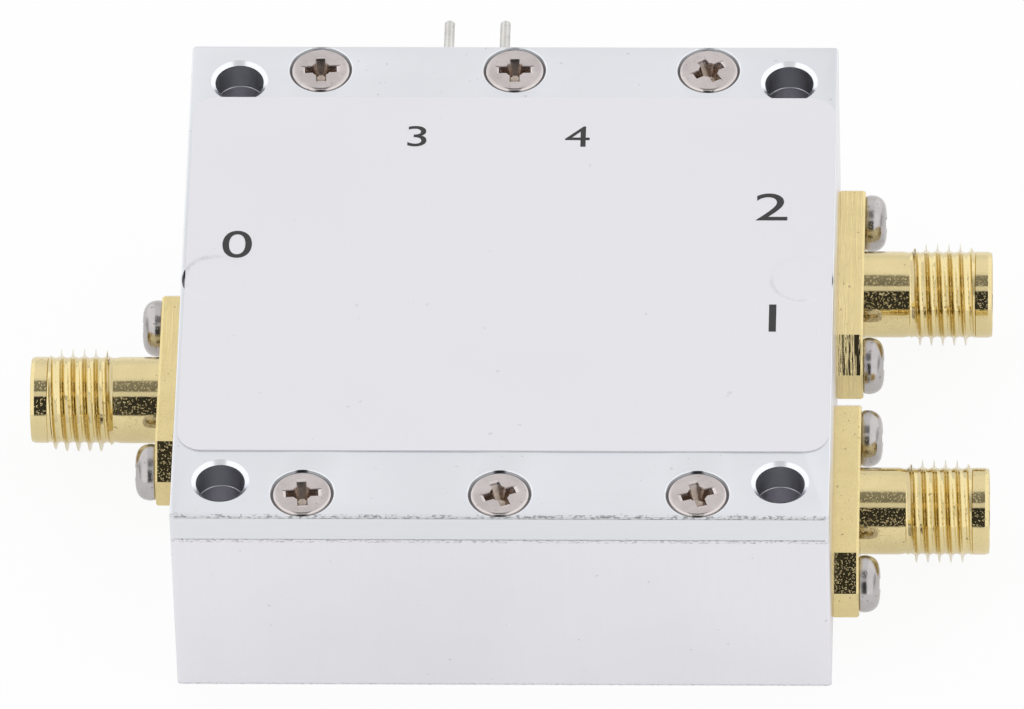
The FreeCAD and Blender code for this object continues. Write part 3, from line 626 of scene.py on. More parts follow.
def turned(name, points, steps=64, closed=False):
    """A solid of revolution about Z through (radius, z) points, with poles where the radius is 0."""
    shape = bmesh.new()
    rings = []
    for radius, z in points:
        if radius == 0:
            rings.append([shape.verts.new((0, 0, z))])
        else:
            angles = [2 * math.pi * i / steps for i in range(steps)]
            rings.append([shape.verts.new((radius * math.cos(a), radius * math.sin(a), z)) for a in angles])
    pairs = list(zip(rings, rings[1:]))
    if closed:
        pairs.append((rings[-1], rings[0]))
    for low, high in pairs:
        for i in range(steps):
            j = (i + 1) % steps
            corners = []
            for ring, place in ((low, i), (low, j), (high, j), (high, i)):
                vertex = ring[place % len(ring)]
                if vertex not in corners:
                    corners.append(vertex)
            if len(corners) > 2:
                shape.faces.new(corners)
    return from_bmesh(name, shape)


def block(name, low, high):
    """A plain rectangular cutter."""
    shape = bmesh.new()
    bmesh.ops.create_cube(shape, size=1.0)
    size = Vector(high) - Vector(low)
    middle = (Vector(high) + Vector(low)) / 2
    shape.transform(Matrix.Translation(middle) @ Matrix.Diagonal((*size, 1.0)))
    return from_bmesh(name, shape)


def finish_piece(item, material, nodes=(), smooth=30.0):
    moved(item, Matrix.Scale(MM, 4))
    mesh = item.data
    mesh.shade_smooth()
    mesh.set_sharp_from_angle(angle=math.radians(smooth))
    if material is not None:
        mesh.materials.clear()
        mesh.materials.append(material)
    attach(item, BODY)
    if nodes:
        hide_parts(*nodes)


def set_input(modifier, tree, name, value):
    """Fill in a Geometry Nodes modifier's input by its socket's identifier."""
    for item in tree.interface.items_tree:
        if item.item_type == "SOCKET" and item.in_out == "INPUT" and item.name == name:
            modifier[item.identifier] = value
            return
    raise RuntimeError(f"{tree.name} has no input named {name}")


def grown(item, tree, inputs):
    """Run a Geometry Nodes tree on an object and keep the plain mesh."""
    modifier = item.modifiers.new("grow", "NODES")
    modifier.node_group = tree
    for name, value in inputs.items():
        set_input(modifier, tree, name, value)
    settled(item)


# Geometry nodes

def end_tree(w, geometry, finish, target):
    """The last nodes of a tree: a plain mesh with its finish."""
    whole = w.add("GeometryNodeRealizeInstances", {"Geometry": geometry})
    done = w.add("GeometryNodeSetMaterial", {"Geometry": whole.outputs[0], "Material": finish})
    wire(w, done.outputs[0], target)


def thread_tree():
    """Cuts a right-handed thread into a plain barrel that lies along X."""
    number = "NodeSocketFloat"
    w, given, result = new_group("cut_thread", [
        ("Geometry", "NodeSocketGeometry", None),
        ("Start", number, 4.45), ("Length", number, 4.1), ("Pitch", number, 0.7),
        ("Crest Radius", number, 3.17), ("Root Radius", number, 2.7),
        ("Phase", number, 0.22), ("Sharpness", number, 8.0),
        ("Root Slope", number, 0.2),
        ("Finish", "NodeSocketMaterial", None),
    ], [("Geometry", "NodeSocketGeometry")], "GeometryNodeTree")
    place = w.add("ShaderNodeSeparateXYZ", {0: w.add("GeometryNodeInputPosition").outputs[0]}).outputs
    squares = [w.math("POWER", place[1], 2.0), w.math("POWER", place[2], 2.0)]
    away = w.math("SQRT", w.math("ADD", *squares))
    turn = w.math("DIVIDE", w.math("ARCTAN2", place[2], place[1]), 2 * math.pi)
    along = w.math("SUBTRACT", place[0], given["Start"])
    left = w.math("SUBTRACT", given["Length"], along)
    turns = w.math("SUBTRACT", w.math("DIVIDE", along, given["Pitch"]), turn)
    wave = w.math("FRACT", w.math("ADD", turns, given["Phase"]))
    swing = w.math("SUBTRACT", w.math("MULTIPLY", wave, 2.0), 1.0)
    slope = w.math("SUBTRACT", 1.0, w.math("ABSOLUTE", swing))
    rise = w.rescale(slope, 0.0, 0.96)
    peak = w.math("POWER", rise, given["Sharpness"])
    crest = w.math("MULTIPLY", peak, w.math("SUBTRACT", 1.0, given["Root Slope"]))
    height = w.math("ADD", crest, w.math("MULTIPLY", rise, given["Root Slope"]))
    depth = w.math("SUBTRACT", given["Crest Radius"], given["Root Radius"])
    cut = w.math("ADD", given["Root Radius"], w.math("MULTIPLY", height, depth))
    lead = w.math("ADD", given["Root Radius"], w.math("MAXIMUM", w.math("MINIMUM", along, left), 0.0))
    radius = w.math("MINIMUM", cut, lead)
    scale = w.math("DIVIDE", radius, away)
    target = w.add("ShaderNodeCombineXYZ", {
        0: place[0], 1: w.math("MULTIPLY", place[1], scale), 2: w.math("MULTIPLY", place[2], scale),
    }).outputs[0]
    on_barrel = w.math("GREATER_THAN", away, w.math("ADD", given["Root Radius"], 0.1))
    moved_points = w.add("GeometryNodeSetPosition", {
        "Geometry": given["Geometry"], "Selection": on_barrel, "Position": target,
    })
    end_tree(w, moved_points.outputs[0], given["Finish"], result["Geometry"])


def spread_tree():
    """Puts a copy of one piece on each point, turned by the point's own angles."""
    w, given, result = new_group("spread", [
        ("Geometry", "NodeSocketGeometry", None),
        ("Piece", "NodeSocketObject", None),
        ("Scale", "NodeSocketFloat", 1.0),
        ("Finish", "NodeSocketMaterial", None),
    ], [("Geometry", "NodeSocketGeometry")], "GeometryNodeTree")
    piece = w.add("GeometryNodeObjectInfo", {"Object": given["Piece"]})
    angles = w.add("GeometryNodeInputNamedAttribute", {"Name": "turning"}, data_type="FLOAT_VECTOR")
    turning = w.add("FunctionNodeEulerToRotation", {0: angles.outputs[0]})
    copies = w.add("GeometryNodeInstanceOnPoints", {
        "Points": given["Geometry"], "Instance": piece.outputs["Geometry"],
        "Rotation": turning.outputs[0], "Scale": given["Scale"],
    })
    end_tree(w, copies.outputs[0], given["Finish"], result["Geometry"])


def spread(name, piece, spots, material):
    """One object with a copy of a piece at each spot: a place and turning angles in radians."""
    mesh = bpy.data.meshes.new(name)
    mesh.from_pydata([place for place, _ in spots], [], [])
    turning = mesh.attributes.new("turning", "FLOAT_VECTOR", "POINT")
    for entry, (_, angles) in zip(turning.data, spots):
        entry.vector = angles
    item = new_object(name, mesh)
    grown(item, bpy.data.node_groups["spread"], {"Piece": piece, "Finish": material})
    for attribute in [a for a in item.data.attributes if a.name == "turning"]:
        item.data.attributes.remove(attribute)
    discard([piece])
    return item


# Pieces

def kept(name):
    """One of the finishes made by make_materials; the CAD's own flat colours go without the ending."""
    return bpy.data.materials[f"{name}_finish"]


def upright_hole(x, y, points):
    """A turned cutter for a hole along Z."""
    return moved(turned("cutter", points, HOLE_STEPS), Matrix.Translation((x, y, 0)))


def level_hole(side, y, radius, depth):
    """A plain round cutter that goes in from a side wall along X, at the jacks' height."""
    cutter = turned("cutter", [(0, -0.3), (radius, -0.3), (radius, depth), (0, depth)], HOLE_STEPS)
    lean = Matrix.Rotation(math.radians(-90 * side), 4, "Y")
    return moved(cutter, Matrix.Translation((HALF * side, y, JACK_HEIGHT)) @ lean)


def make_box(sizes):
    """The milled box with its cavity and holes."""
    chamfer = sizes.edge_chamfer / MM
    mouth = MOUNTING_RADIUS + sizes.mouth_chamfer / MM
    seam = sizes.seam_chamfer / MM
    levels = [(0, chamfer), (chamfer, 0), (BOX_TOP - seam, 0), (BOX_TOP, seam)]
    item = prism("box", levels, HALF, HALF, sizes.corner_rounding / MM)
    above = BOX_TOP + 1
    cavity = prism("cavity", [(FLOOR_TOP, 0), (above, 0)], HALF - WALL, HALF - WALL, CAVITY_CORNER, 10)
    carved(item, [cavity])
    cutters = []
    grow = mouth - MOUNTING_RADIUS
    for x in (-MOUNTING_PLACE, MOUNTING_PLACE):
        for y in (-MOUNTING_PLACE, MOUNTING_PLACE):
            cutters.append(upright_hole(x, y, [
                (0, -1), (mouth, -1), (mouth, 0), (MOUNTING_RADIUS, grow * MOUTH_SLOPE),
                (MOUNTING_RADIUS, BOX_TOP - seam), (MOUNTING_RADIUS + seam, BOX_TOP),
                (MOUNTING_RADIUS + seam, above), (0, above),
            ]))
    for x, y, _ in COVER_SCREWS:
        cutters.append(upright_hole(x, y, [
            (0, TAPPED_FOOT), (TAPPED_RADIUS, TAPPED_FOOT), (TAPPED_RADIUS, above), (0, above),
        ]))
    for side, y in JACKS.values():
        cutters.append(level_hole(side, y, INSULATOR_RADIUS + PRESS_GAP, WALL + 0.3))
        for offset in (-FLANGE_HOLE_OFFSET, FLANGE_HOLE_OFFSET):
            cutters.append(level_hole(side, y + offset, TAPPED_RADIUS, FLANGE_HOLE_DEPTH))
    out = Matrix.Rotation(math.radians(-90), 4, "X")
    wide, deep = EYELET_RADIUS + PRESS_GAP, -WALL - 0.3
    for x in PINS.values():
        cutter = turned("cutter", [(0, deep), (wide, deep), (wide, 0.3), (0, 0.3)], HOLE_STEPS)
        cutters.append(moved(cutter, Matrix.Translation((x, HALF, PIN_HEIGHT)) @ out))
    carved(item, [joined("cutters", cutters)])
    finish_piece(item, kept("milled_box"), ["housing"])


def make_cover(sizes):
    """The cover plate with its countersunk and mounting holes."""
    chamfer = sizes.edge_chamfer / MM
    seam = sizes.seam_chamfer / MM
    soft = chamfer * 0.3
    levels = [
        (BOX_TOP, seam), (BOX_TOP + seam, 0),
        (COVER_TOP - chamfer, 0), (COVER_TOP - soft, soft), (COVER_TOP, chamfer),
    ]
    item = prism("cover_plate", levels, HALF, HALF, sizes.corner_rounding / MM)
    grow = sizes.mouth_chamfer / MM
    below, above = BOX_TOP - 1, COVER_TOP + 1
    cutters = []
    for x in (-MOUNTING_PLACE, MOUNTING_PLACE):
        for y in (-MOUNTING_PLACE, MOUNTING_PLACE):
            cutters.append(upright_hole(x, y, [
                (0, below), (MOUNTING_RADIUS, below), (MOUNTING_RADIUS, COVER_TOP - grow * MOUTH_SLOPE),
                (MOUNTING_RADIUS + grow, COVER_TOP), (MOUNTING_RADIUS + grow, above), (0, above),
            ]))
    cone_foot = COVER_TOP - (COUNTERSINK_RADIUS - THROUGH_RADIUS)
    rim = COUNTERSINK_RADIUS + 0.06
    for x, y, _ in COVER_SCREWS:
        cutters.append(upright_hole(x, y, [
            (0, below), (THROUGH_RADIUS, below), (THROUGH_RADIUS, cone_foot),
            (COUNTERSINK_RADIUS - 0.02, COVER_TOP - 0.02), (rim, COVER_TOP), (rim, above), (0, above),
        ]))
    carved(item, [joined("cutters", cutters)])
    finish_piece(item, kept("cover_plate"), ["cover"])


LABEL_LEFT = -19.75
LABEL_RIGHT = 19.9
LABEL_FRONT = -14.5
LABEL_BACK = 15.5
LABEL_CORNER = 1.5
LABEL_THICKNESS = 0.1
# The film's dent over a hidden screw: its radius, the width of its slope and its reach aslant
DENT_RADIUS, DENT_SLOPE, DENT_ASLANT = 2.0, 0.24, 2.83
# Spacing of the film's fine mesh round a dent
FINE_STEP = 0.08


def label_dip(x, y, depth):
    """How far the film's top lies below flat: it sinks onto the heads of the two hidden screws."""
    dip = 0.004 + 0.004 * math.sin(x * 0.31 + 1.3) * math.cos(y * 0.27)
    for side in (-1, 1):
        across = x - side * SIDE_SCREW_X
        away = math.hypot(across, y)
        step = min(max((DENT_RADIUS - away) / DENT_SLOPE, 0.0), 1.0)
        lean = 0.55 - 0.45 * (across + side * y) / DENT_ASLANT
        dip += depth * lean * step * step * (3 - 2 * step)
    return min(dip, LABEL_THICKNESS - 0.015)


def make_label(sizes):
    """The label film, pressed over the two side screws, with a fine mesh round them."""
    depth = sizes.label_dent / MM
    half_x, half_y = (LABEL_RIGHT - LABEL_LEFT) / 2, (LABEL_BACK - LABEL_FRONT) / 2
    middle = ((LABEL_LEFT + LABEL_RIGHT) / 2, (LABEL_FRONT + LABEL_BACK) / 2, 0)
    levels = [(COVER_TOP, 0), (COVER_TOP + LABEL_THICKNESS, 0)]
    item = prism("label_film", levels, half_x, half_y, LABEL_CORNER, 10)
    moved(item, Matrix.Translation(middle))
    fine = [i * FINE_STEP for i in range(-30, 31)]
    cuts = [("x", side * SIDE_SCREW_X + step) for side in (-1, 1) for step in fine]
    cuts += [("x", -15.0 + i) for i in range(31)] + [("y", step) for step in fine]
    cuts += [("y", LABEL_FRONT + i) for i in range(1, 30) if abs(LABEL_FRONT + i) > 2.5]
    shape = bmesh.new()
    shape.from_mesh(item.data)
    for axis, distance in cuts:
        normal = Vector((1, 0, 0)) if axis == "x" else Vector((0, 1, 0))
        bmesh.ops.bisect_plane(
            shape, geom=shape.verts[:] + shape.edges[:] + shape.faces[:], dist=1e-5,
            plane_co=normal * distance, plane_no=normal,
        )
    for vertex in shape.verts:
        if vertex.co.z > COVER_TOP + LABEL_THICKNESS / 2:
            vertex.co.z -= label_dip(vertex.co.x, vertex.co.y, depth)
    shape.to_mesh(item.data)
    shape.free()
    finish_piece(item, kept("label_film"), ["label"], smooth=50.0)


# Printed numerals: text, middle x and y, height of the figure and stretch across
NUMERALS = {
    "numeral_common": ("0", -16.65, 2.85, 2.3, 1.25),
    "numeral_port_one": ("1", 16.3, -3.3, 2.3, 1.35),
    "numeral_port_two": ("2", 16.1, 6.15, 2.3, 1.35),
    "numeral_control": ("3", -5.85, 12.15, 1.75, 1.3),
    "numeral_supply": ("4", 4.05, 12.15, 1.75, 1.3),
}


def make_numerals():
    """Plain printed numerals beside the jacks and pins."""
    for name, (figure, x, y, tall, wide) in NUMERALS.items():
        curve = bpy.data.curves.new(name, "FONT")
        curve.body = figure
        curve.size = 1.0
        curve.align_x = "CENTER"
        curve.align_y = "CENTER"
        curve.extrude = 0.001
        text = bpy.data.objects.new(name, curve)
        bpy.context.scene.collection.objects.link(text)
        graph = bpy.context.evaluated_depsgraph_get()
        graph.update()
        mesh = bpy.data.meshes.new_from_object(text.evaluated_get(graph))
        bpy.data.objects.remove(text)
        item = new_object(name, mesh)
        low = min(v.co.y for v in mesh.vertices)
        high = max(v.co.y for v in mesh.vertices)
        scale = tall / (high - low)
        centre = Matrix.Translation((0, -(low + high) / 2, 0))
        place = Matrix.Translation((x, y, COVER_TOP + LABEL_THICKNESS + 0.002))
        moved(item, place @ Matrix.Diagonal((scale * wide, scale, 2.0, 1.0)) @ centre)
        finish_piece(item, kept("ink"))


# Sections of a recess's arm: share of its depth (above the head, millimetres), its reach and its width
ARM_SECTIONS = [
    (-0.4, 1.0, 1.12), (0.0, 1.0, 1.0), (0.08, 0.78, 0.9), (0.55, 0.62, 0.74), (1.0, 0.3, 0.5),
]


def cross_cutter(sizes, top):
    """The cutters of a cross recess in a screw head whose top lies at a height."""
    reach, half = sizes.recess_reach / MM, sizes.recess_width / MM / 2
    depth = sizes.recess_depth / MM
    cutters = []
    for turn in (0, 90):
        shape = bmesh.new()
        rings = []
        for drop, far, side in ARM_SECTIONS:
            x, y, z = reach * far, half * side, top - (drop if drop < 0 else drop * depth)
            corners = ((x, y, z), (-x, y, z), (-x, -y, z), (x, -y, z))
            rings.append([shape.verts.new(corner) for corner in corners])
        for low, high in zip(rings, rings[1:]):
            for i in range(4):
                shape.faces.new((low[i], low[(i + 1) % 4], high[(i + 1) % 4], high[i]))
        shape.faces.new(rings[0])
        shape.faces.new(rings[-1])
        cutters.append(moved(from_bmesh("arm", shape), Matrix.Rotation(math.radians(turn), 4, "Z")))
    cone = turned("cone", [(0, top + 0.4), (half * 2.1, top + 0.4), (half * 1.95, top),
                           (half * 1.1, top - depth), (0, top - depth * 1.12)], 24)
    return cutters + [cone]


def countersunk_screw(sizes):
    """A countersunk cross-recessed screw, its head's top at 0."""
    screw = turned("countersunk_screw", [
        (0, 0.0), (1.60, -0.004), (1.67, -0.025), (1.77, -0.10), (1.83, -0.18),
        (SCREW_RADIUS, -1.01), (SCREW_RADIUS, -4.8), (SCREW_RADIUS - 0.2, -5.0), (0, -5.0),
    ], 64)
    return carved(screw, cross_cutter(sizes, 0.0))


def pan_screw(sizes):
    """A pan-head cross-recessed screw, its seat at 0 and its head towards +Z."""
    screw = turned("pan_screw", [
        (0, 1.30), (0.6, 1.29), (0.95, 1.26), (1.2, 1.20), (1.4, 1.10), (1.57, 0.94), (1.68, 0.74),
        (1.74, 0.5), (1.75, 0.3), (1.72, 0.1), (1.64, 0.0),
        (SCREW_RADIUS, 0.0), (SCREW_RADIUS, -2.8), (SCREW_RADIUS - 0.2, -3.0), (0, -3.0),
    ], 64)
    return carved(screw, cross_cutter(sizes, 1.28))


def make_cover_screws(sizes):
    """Eight countersunk screws in the cover."""
    # Heights of the heads' tops in the back row, the front row and under the label
    tops = {ROW_SCREW_Y: 15.04, -ROW_SCREW_Y: 15.015, 0.0: 14.95}
    spots = [((x, y, tops[y]), (0, 0, math.radians(turn))) for x, y, turn in COVER_SCREWS]
    item = spread("cover_screw_set", countersunk_screw(sizes), spots, kept("nickel_countersunk"))
    finish_piece(item, None, ["cover_screws"])


# Turns of the flange screws' recesses about their own axes, in degrees
FLANGE_TURNS = [(45, 49), (43, 50), (47, 40)]


def make_flange_screws(sizes):
    """Six pan-head screws through the jacks' flanges."""
    spots = []
    for (side, y), turns in zip(JACKS.values(), FLANGE_TURNS):
        for offset, turn in zip((-FLANGE_HOLE_OFFSET, FLANGE_HOLE_OFFSET), turns):
            facing = Matrix.Rotation(math.radians(90 * side), 3, "Y")
            lean = facing @ Matrix.Rotation(math.radians(turn), 3, "Z")
            place = ((HALF + FLANGE_THICKNESS) * side, y + offset, JACK_HEIGHT)
            spots.append((place, lean.to_euler()[:]))
    item = spread("flange_screw_set", pan_screw(sizes), spots, kept("nickel_screw"))
    finish_piece(item, None, ["flange_screws"])


def at_jack(side, y):
    """The place of a jack that is drawn along +X from the box's face."""
    turn = Matrix.Rotation(0 if side > 0 else math.pi, 4, "Z")
    return Matrix.Translation((HALF * side, y, JACK_HEIGHT)) @ turn


def jack_outline(sizes):
    """The shell's closed outline as (radius, distance from the box), with fine rows for the thread."""
    neck, crest = sizes.neck_radius / MM, sizes.crest_radius / MM
    start = sizes.thread_start / MM
    reach = sizes.thread_length / MM
    rows = int(reach / (sizes.pitch / MM) * THREAD_ROWS)
    inner = INSULATOR_RADIUS + PRESS_GAP
    outline = [(inner, 0.2), (neck, 0.2), (neck, FLANGE_THICKNESS)]
    outline += [(neck, start - 0.42), (neck + 0.09, start - 0.02)]
    outline += [(crest, start + reach * i / rows) for i in range(rows + 1)]
    outline += [(neck, start + reach), (neck, JACK_REACH - 0.24)]
    outline += [(neck - 0.07, JACK_REACH - 0.03), (neck - 0.11, JACK_REACH)]
    outline += [(SOCKET_RADIUS + 0.08, JACK_REACH), (SOCKET_RADIUS, JACK_REACH - 0.08)]
    return outline + [(SOCKET_RADIUS, REFERENCE_PLANE), (inner, REFERENCE_PLANE)]


# Share of an inset by which an octagon's corner moves along its side
OCTAGON_MITRE = 0.414


def flange_plate():
    """The octagonal flange with its centre hole and two screw holes, facing +Z, long along Y."""
    shape = bmesh.new()
    bevel, edge = FLANGE_BEVEL, FLANGE_BEVEL * 0.55
    levels = [(0.0, edge), (bevel, 0), (FLANGE_THICKNESS - bevel, 0), (FLANGE_THICKNESS, edge)]
    rings = []
    for z, inset in levels:
        x, y = FLANGE_HALF_WIDTH - inset, FLANGE_HALF_LENGTH - inset
        near_x = FLANGE_HALF_WIDTH - FLANGE_CORNER - inset * OCTAGON_MITRE
        near_y = FLANGE_HALF_LENGTH - FLANGE_CORNER - inset * OCTAGON_MITRE
        rings.append([shape.verts.new((px, py, z)) for px, py in (
            (near_x, y), (-near_x, y), (-x, near_y), (-x, -near_y),
            (-near_x, -y), (near_x, -y), (x, -near_y), (x, near_y),
        )])
    for low, high in zip(rings, rings[1:]):
        for i in range(8):
            shape.faces.new((low[i], low[(i + 1) % 8], high[(i + 1) % 8], high[i]))
    shape.faces.new(list(reversed(rings[0])))
    shape.faces.new(rings[-1])
    plate = from_bmesh("flange", shape)
    holes = [(0, INSULATOR_RADIUS + PRESS_GAP)]
    holes += [(offset, THROUGH_RADIUS) for offset in (-FLANGE_HOLE_OFFSET, FLANGE_HOLE_OFFSET)]
    cutters = [upright_hole(0, y, [(0, -1), (r, -1), (r, 3), (0, 3)]) for y, r in holes]
    return carved(plate, [joined("cutters", cutters)])


def make_jack_shells(sizes):
    """The three jacks' outer conductors, each with its flange and thread."""
    shell = turned("shell", jack_outline(sizes), BARREL_FACETS, closed=True)
    facing = Matrix.Rotation(math.radians(90), 4, "Y")
    moved(shell, facing)
    grown(shell, bpy.data.node_groups["cut_thread"], {
        "Start": sizes.thread_start / MM, "Length": sizes.thread_length / MM, "Pitch": sizes.pitch / MM,
        "Crest Radius": sizes.crest_radius / MM, "Root Radius": sizes.root_radius / MM,
        "Finish": kept("gold_plate"),
    })
    plate = moved(flange_plate(), facing)
    master = joined("jack_master", [shell, plate])
    for name, (side, y) in JACKS.items():
        item = moved(copied(master, f"{name}_shell"), at_jack(side, y))
        finish_piece(item, kept("gold_plate"), [f"{name}_jack_shell"], smooth=12.0)
    discard([master])


def make_jack_fronts():
    """Each jack's insulator and slotted centre contact."""
    facing = Matrix.Rotation(math.radians(90), 4, "Y")
    outer, inner = CONTACT_RADIUS, CONTACT_BORE
    front, back = REFERENCE_PLANE, -(WALL + 2.0)
    gap, slot_foot = 0.06, REFERENCE_PLANE - 1.7
    contact = turned("contact", [
        (0, back), (outer, back), (outer, front - 0.06), (outer - 0.06, front), (inner + 0.05, front),
        (inner, front - 0.05), (inner, front - 2.6), (0, front - 2.75),
    ], HOLE_STEPS)
    slots = [block("slot", (-1, -gap, slot_foot), (1, gap, front + 1)),
             block("slot", (-gap, -1, slot_foot), (gap, 1, front + 1))]
    carved(contact, slots)
    insulator = turned("insulator", [
        (outer + 0.01, -WALL), (INSULATOR_RADIUS, -WALL), (INSULATOR_RADIUS, front - 0.05),
        (INSULATOR_RADIUS - 0.05, front), (outer + 0.06, front), (outer + 0.01, front - 0.05),
    ], 64, closed=True)
    for master, kind, finish in ((contact, "contact", "gold_plate"), (insulator, "insulator", "insulator")):
        moved(master, facing)
        for name, (side, y) in JACKS.items():
            item = moved(copied(master, f"{name}_{kind}"), at_jack(side, y))
            finish_piece(item, kept(finish), [f"{name}_jack_{kind}"])
        discard([master])


def make_pins():
    """The two wires with their eyelets and glass beads."""
    out = Matrix.Rotation(math.radians(-90), 4, "X")
    radius, tail, reach = PIN_RADIUS, -PIN_TAIL, PIN_REACH
    pin = turned("pin", [
        (0, tail), (radius, tail), (radius, reach - 0.07), (radius - 0.03, reach - 0.01),
        (radius - 0.08, reach), (0, reach),
    ], 32)
    for name, x in PINS.items():
        item = moved(copied(pin, f"{name}_wire"), Matrix.Translation((x, HALF, PIN_HEIGHT)) @ out)
        finish_piece(item, kept("tinned_wire"), [f"{name}_pin"], smooth=40.0)
    discard([pin])
    back = -EYELET_DEPTH
    spots = [((x, HALF, PIN_HEIGHT), (math.radians(-90), 0, 0)) for x in PINS.values()]
    eyelet = turned("eyelet", [
        (0.95, back), (EYELET_RADIUS, back), (EYELET_RADIUS, 0.0), (EYELET_RADIUS, 0.2), (1.2, 0.28),
        (1.12, 0.3), (1.02, 0.27), (0.95, 0.18),
    ], HOLE_STEPS, closed=True)
    rims = spread("eyelets", eyelet, spots, kept("gold_plate"))
    finish_piece(rims, None, ["feedthrough_eyelets"])
    bead = turned("bead", [
        (0.33, back), (0.94, back), (0.94, 0.12), (0.86, 0.03), (0.7, -0.04), (0.55, -0.04),
        (0.42, 0.03), (0.33, 0.14),
    ], HOLE_STEPS, closed=True)
    beads = spread("beads", bead, spots, kept("glass_bead"))
    finish_piece(beads, None, ["feedthrough_beads"], smooth=60.0)


# Inner CAD nodes that stay, and their finishes
INNER = {
    "board_screws": "nickel_screw", "circuit_board": "board_laminate", "copper_tracks": "track_copper",
    "switch_chip": "chip_mould", "switch_chip_terminals": "solder",
    "blocking_capacitors": "capacitor_ceramic", "decoupling_capacitors": "capacitor_ceramic",
    "control_resistor": "resistor_ceramic", "supply_choke": "resistor_ceramic", "solder_joints": "solder",
}


def dress_inside():
    """Give the pieces inside the box their finishes."""
    for node, finish in INNER.items():
        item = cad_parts[node]
        item.data.materials.clear()
        item.data.materials.append(kept(finish))


# Stage

# The camera that matches the photograph
CAMERA_YAW = 2.83
CAMERA_RISE = 46.28
CAMERA_ROLL = -1.89
CAMERA_TARGET = (0.10, 0.82, 7.5)
CAMERA_DISTANCE = 1287.7
CAMERA_LENS = 735.8
# Brightness of the room by the angle from straight ahead of the camera's side, over the top, to the back
ROOM_BANDS = [
    (-90, 1.0), (1, 1.0), (6, 0.045), (54, 0.035), (57, 0.80), (67, 0.80), (70, 0.22), (97, 0.28),
    (102, 0.90), (112, 1.0), (150, 1.0), (166, 0.88), (180, 0.88), (205, 1.0), (270, 1.0),
]
# Brightness towards the sides by how far sideways a direction points
SIDE_BANDS = [(0.0, 1.2), (0.85, 1.2), (0.96, 0.6), (1.0, 0.5)]
SIDE_START, SIDE_FULL = 0.20, 0.33
ROOM_TOP = 1.2
# Share of plain white in what the camera and what reflections see of the floor
FLOOR_SEEN = 0.93
FLOOR_MIRRORED = 0.6


def make_camera():
    """The camera at the photograph's angle."""
    yaw, rise, roll = (math.radians(a) for a in (CAMERA_YAW, CAMERA_RISE, CAMERA_ROLL))
    back = Vector((math.sin(yaw) * math.cos(rise), -math.cos(yaw) * math.cos(rise), math.sin(rise)))
    right = (-back).cross(UP).normalized()
    above = right.cross(-back)
    right, above = (math.cos(roll) * right + math.sin(roll) * above,
                    -math.sin(roll) * right + math.cos(roll) * above)
    data = bpy.data.cameras.new("camera")
    data.lens = CAMERA_LENS
    data.sensor_width = 36.0
    data.clip_start = 0.05
    data.clip_end = 50.0
    item = bpy.data.objects.new("camera", data)
    bpy.context.scene.collection.objects.link(item)
    turn = Matrix((right, above, back)).transposed().to_4x4()
    place = (Vector(CAMERA_TARGET) + back * CAMERA_DISTANCE) * MM
    item.matrix_world = Matrix.Translation(place) @ turn
    bpy.context.scene.camera = item


def level_ramp(w, place, stops):
    """A ramp of grey levels over places from 0 to 1, as shares of the room's brightest level."""
    ramp = w.add("ShaderNodeValToRGB", {0: place})
    elements = ramp.color_ramp.elements
    elements.remove(elements[-1])
    for i, (position, level) in enumerate(stops):
        stop = elements[0] if i == 0 else elements.new(position)
        stop.position = position
        stop.color = (level / ROOM_TOP, level / ROOM_TOP, level / ROOM_TOP, 1.0)
    return ramp.outputs["Color"]


def make_world():
    """A soft white room with a dim strip ahead and overhead, brighter towards both sides."""
    world = bpy.data.worlds.new("soft_room")
    world.use_nodes = True
    bpy.context.scene.world = world
    tree = world.node_tree
    w = Wiring(tree)
    shade = tree.nodes["Background"]
    where = w.add("ShaderNodeTexCoord").outputs["Generated"]
    part = w.add("ShaderNodeSeparateXYZ", {0: where}).outputs
    angle = w.math("DIVIDE", w.math("ARCTAN2", part[2], w.math("MULTIPLY", part[1], -1.0)), 2 * math.pi)
    share = w.math("FRACT", w.math("ADD", angle, 1.25))
    bands = level_ramp(w, share, [((degrees + 90) / 360, level) for degrees, level in ROOM_BANDS])
    across = w.math("ABSOLUTE", part[0])
    sides = level_ramp(w, across, SIDE_BANDS)
    room = w.blend(w.rescale(across, SIDE_START, SIDE_FULL, smooth=True), bands, sides)
    seen = w.add("ShaderNodeLightPath").outputs["Is Camera Ray"]
    wire(w, w.blend(seen, room, WHITE), shade.inputs["Color"])
    wire(w, w.rescale(seen, 0.0, 1.0, ROOM_TOP, 1.0), shade.inputs["Strength"])


def make_floor():
    """A wide pale floor that shows white and keeps a light shadow."""
    shape = bmesh.new()
    bmesh.ops.create_circle(shape, cap_ends=True, segments=64, radius=4000.0)
    floor = from_bmesh("floor", shape)
    moved(floor, Matrix.Translation((0, 0, -0.02)))
    moved(floor, Matrix.Scale(MM, 4))
    material = bpy.data.materials.new("pale_floor")
    material.use_nodes = True
    tree = material.node_tree
    w = Wiring(tree)
    shader = tree.nodes["Principled BSDF"]
    shader.inputs["Base Color"].default_value = (0.93, 0.93, 0.93, 1.0)
    shader.inputs["Roughness"].default_value = 0.7
    glow = w.add("ShaderNodeEmission", {"Color": WHITE, "Strength": 1.0})
    path = w.add("ShaderNodeLightPath").outputs
    mirrored = w.math("MAXIMUM", path["Is Glossy Ray"], path["Is Transmission Ray"])
    seen = w.math("MULTIPLY", path["Is Camera Ray"], FLOOR_SEEN)
    shown = w.math("MAXIMUM", seen, w.math("MULTIPLY", mirrored, FLOOR_MIRRORED))
    mix = w.add("ShaderNodeMixShader", {0: shown})
    wire(w, shader.outputs[0], mix.inputs[1])
    wire(w, glow.outputs[0], mix.inputs[2])
    wire(w, mix.outputs[0], tree.nodes["Material Output"].inputs["Surface"])
    floor.data.materials.append(material)


# Operators

class PieceOperator(bpy.types.Operator):
    """Makes a piece of the switch."""

    bl_options = {"REGISTER", "UNDO"}


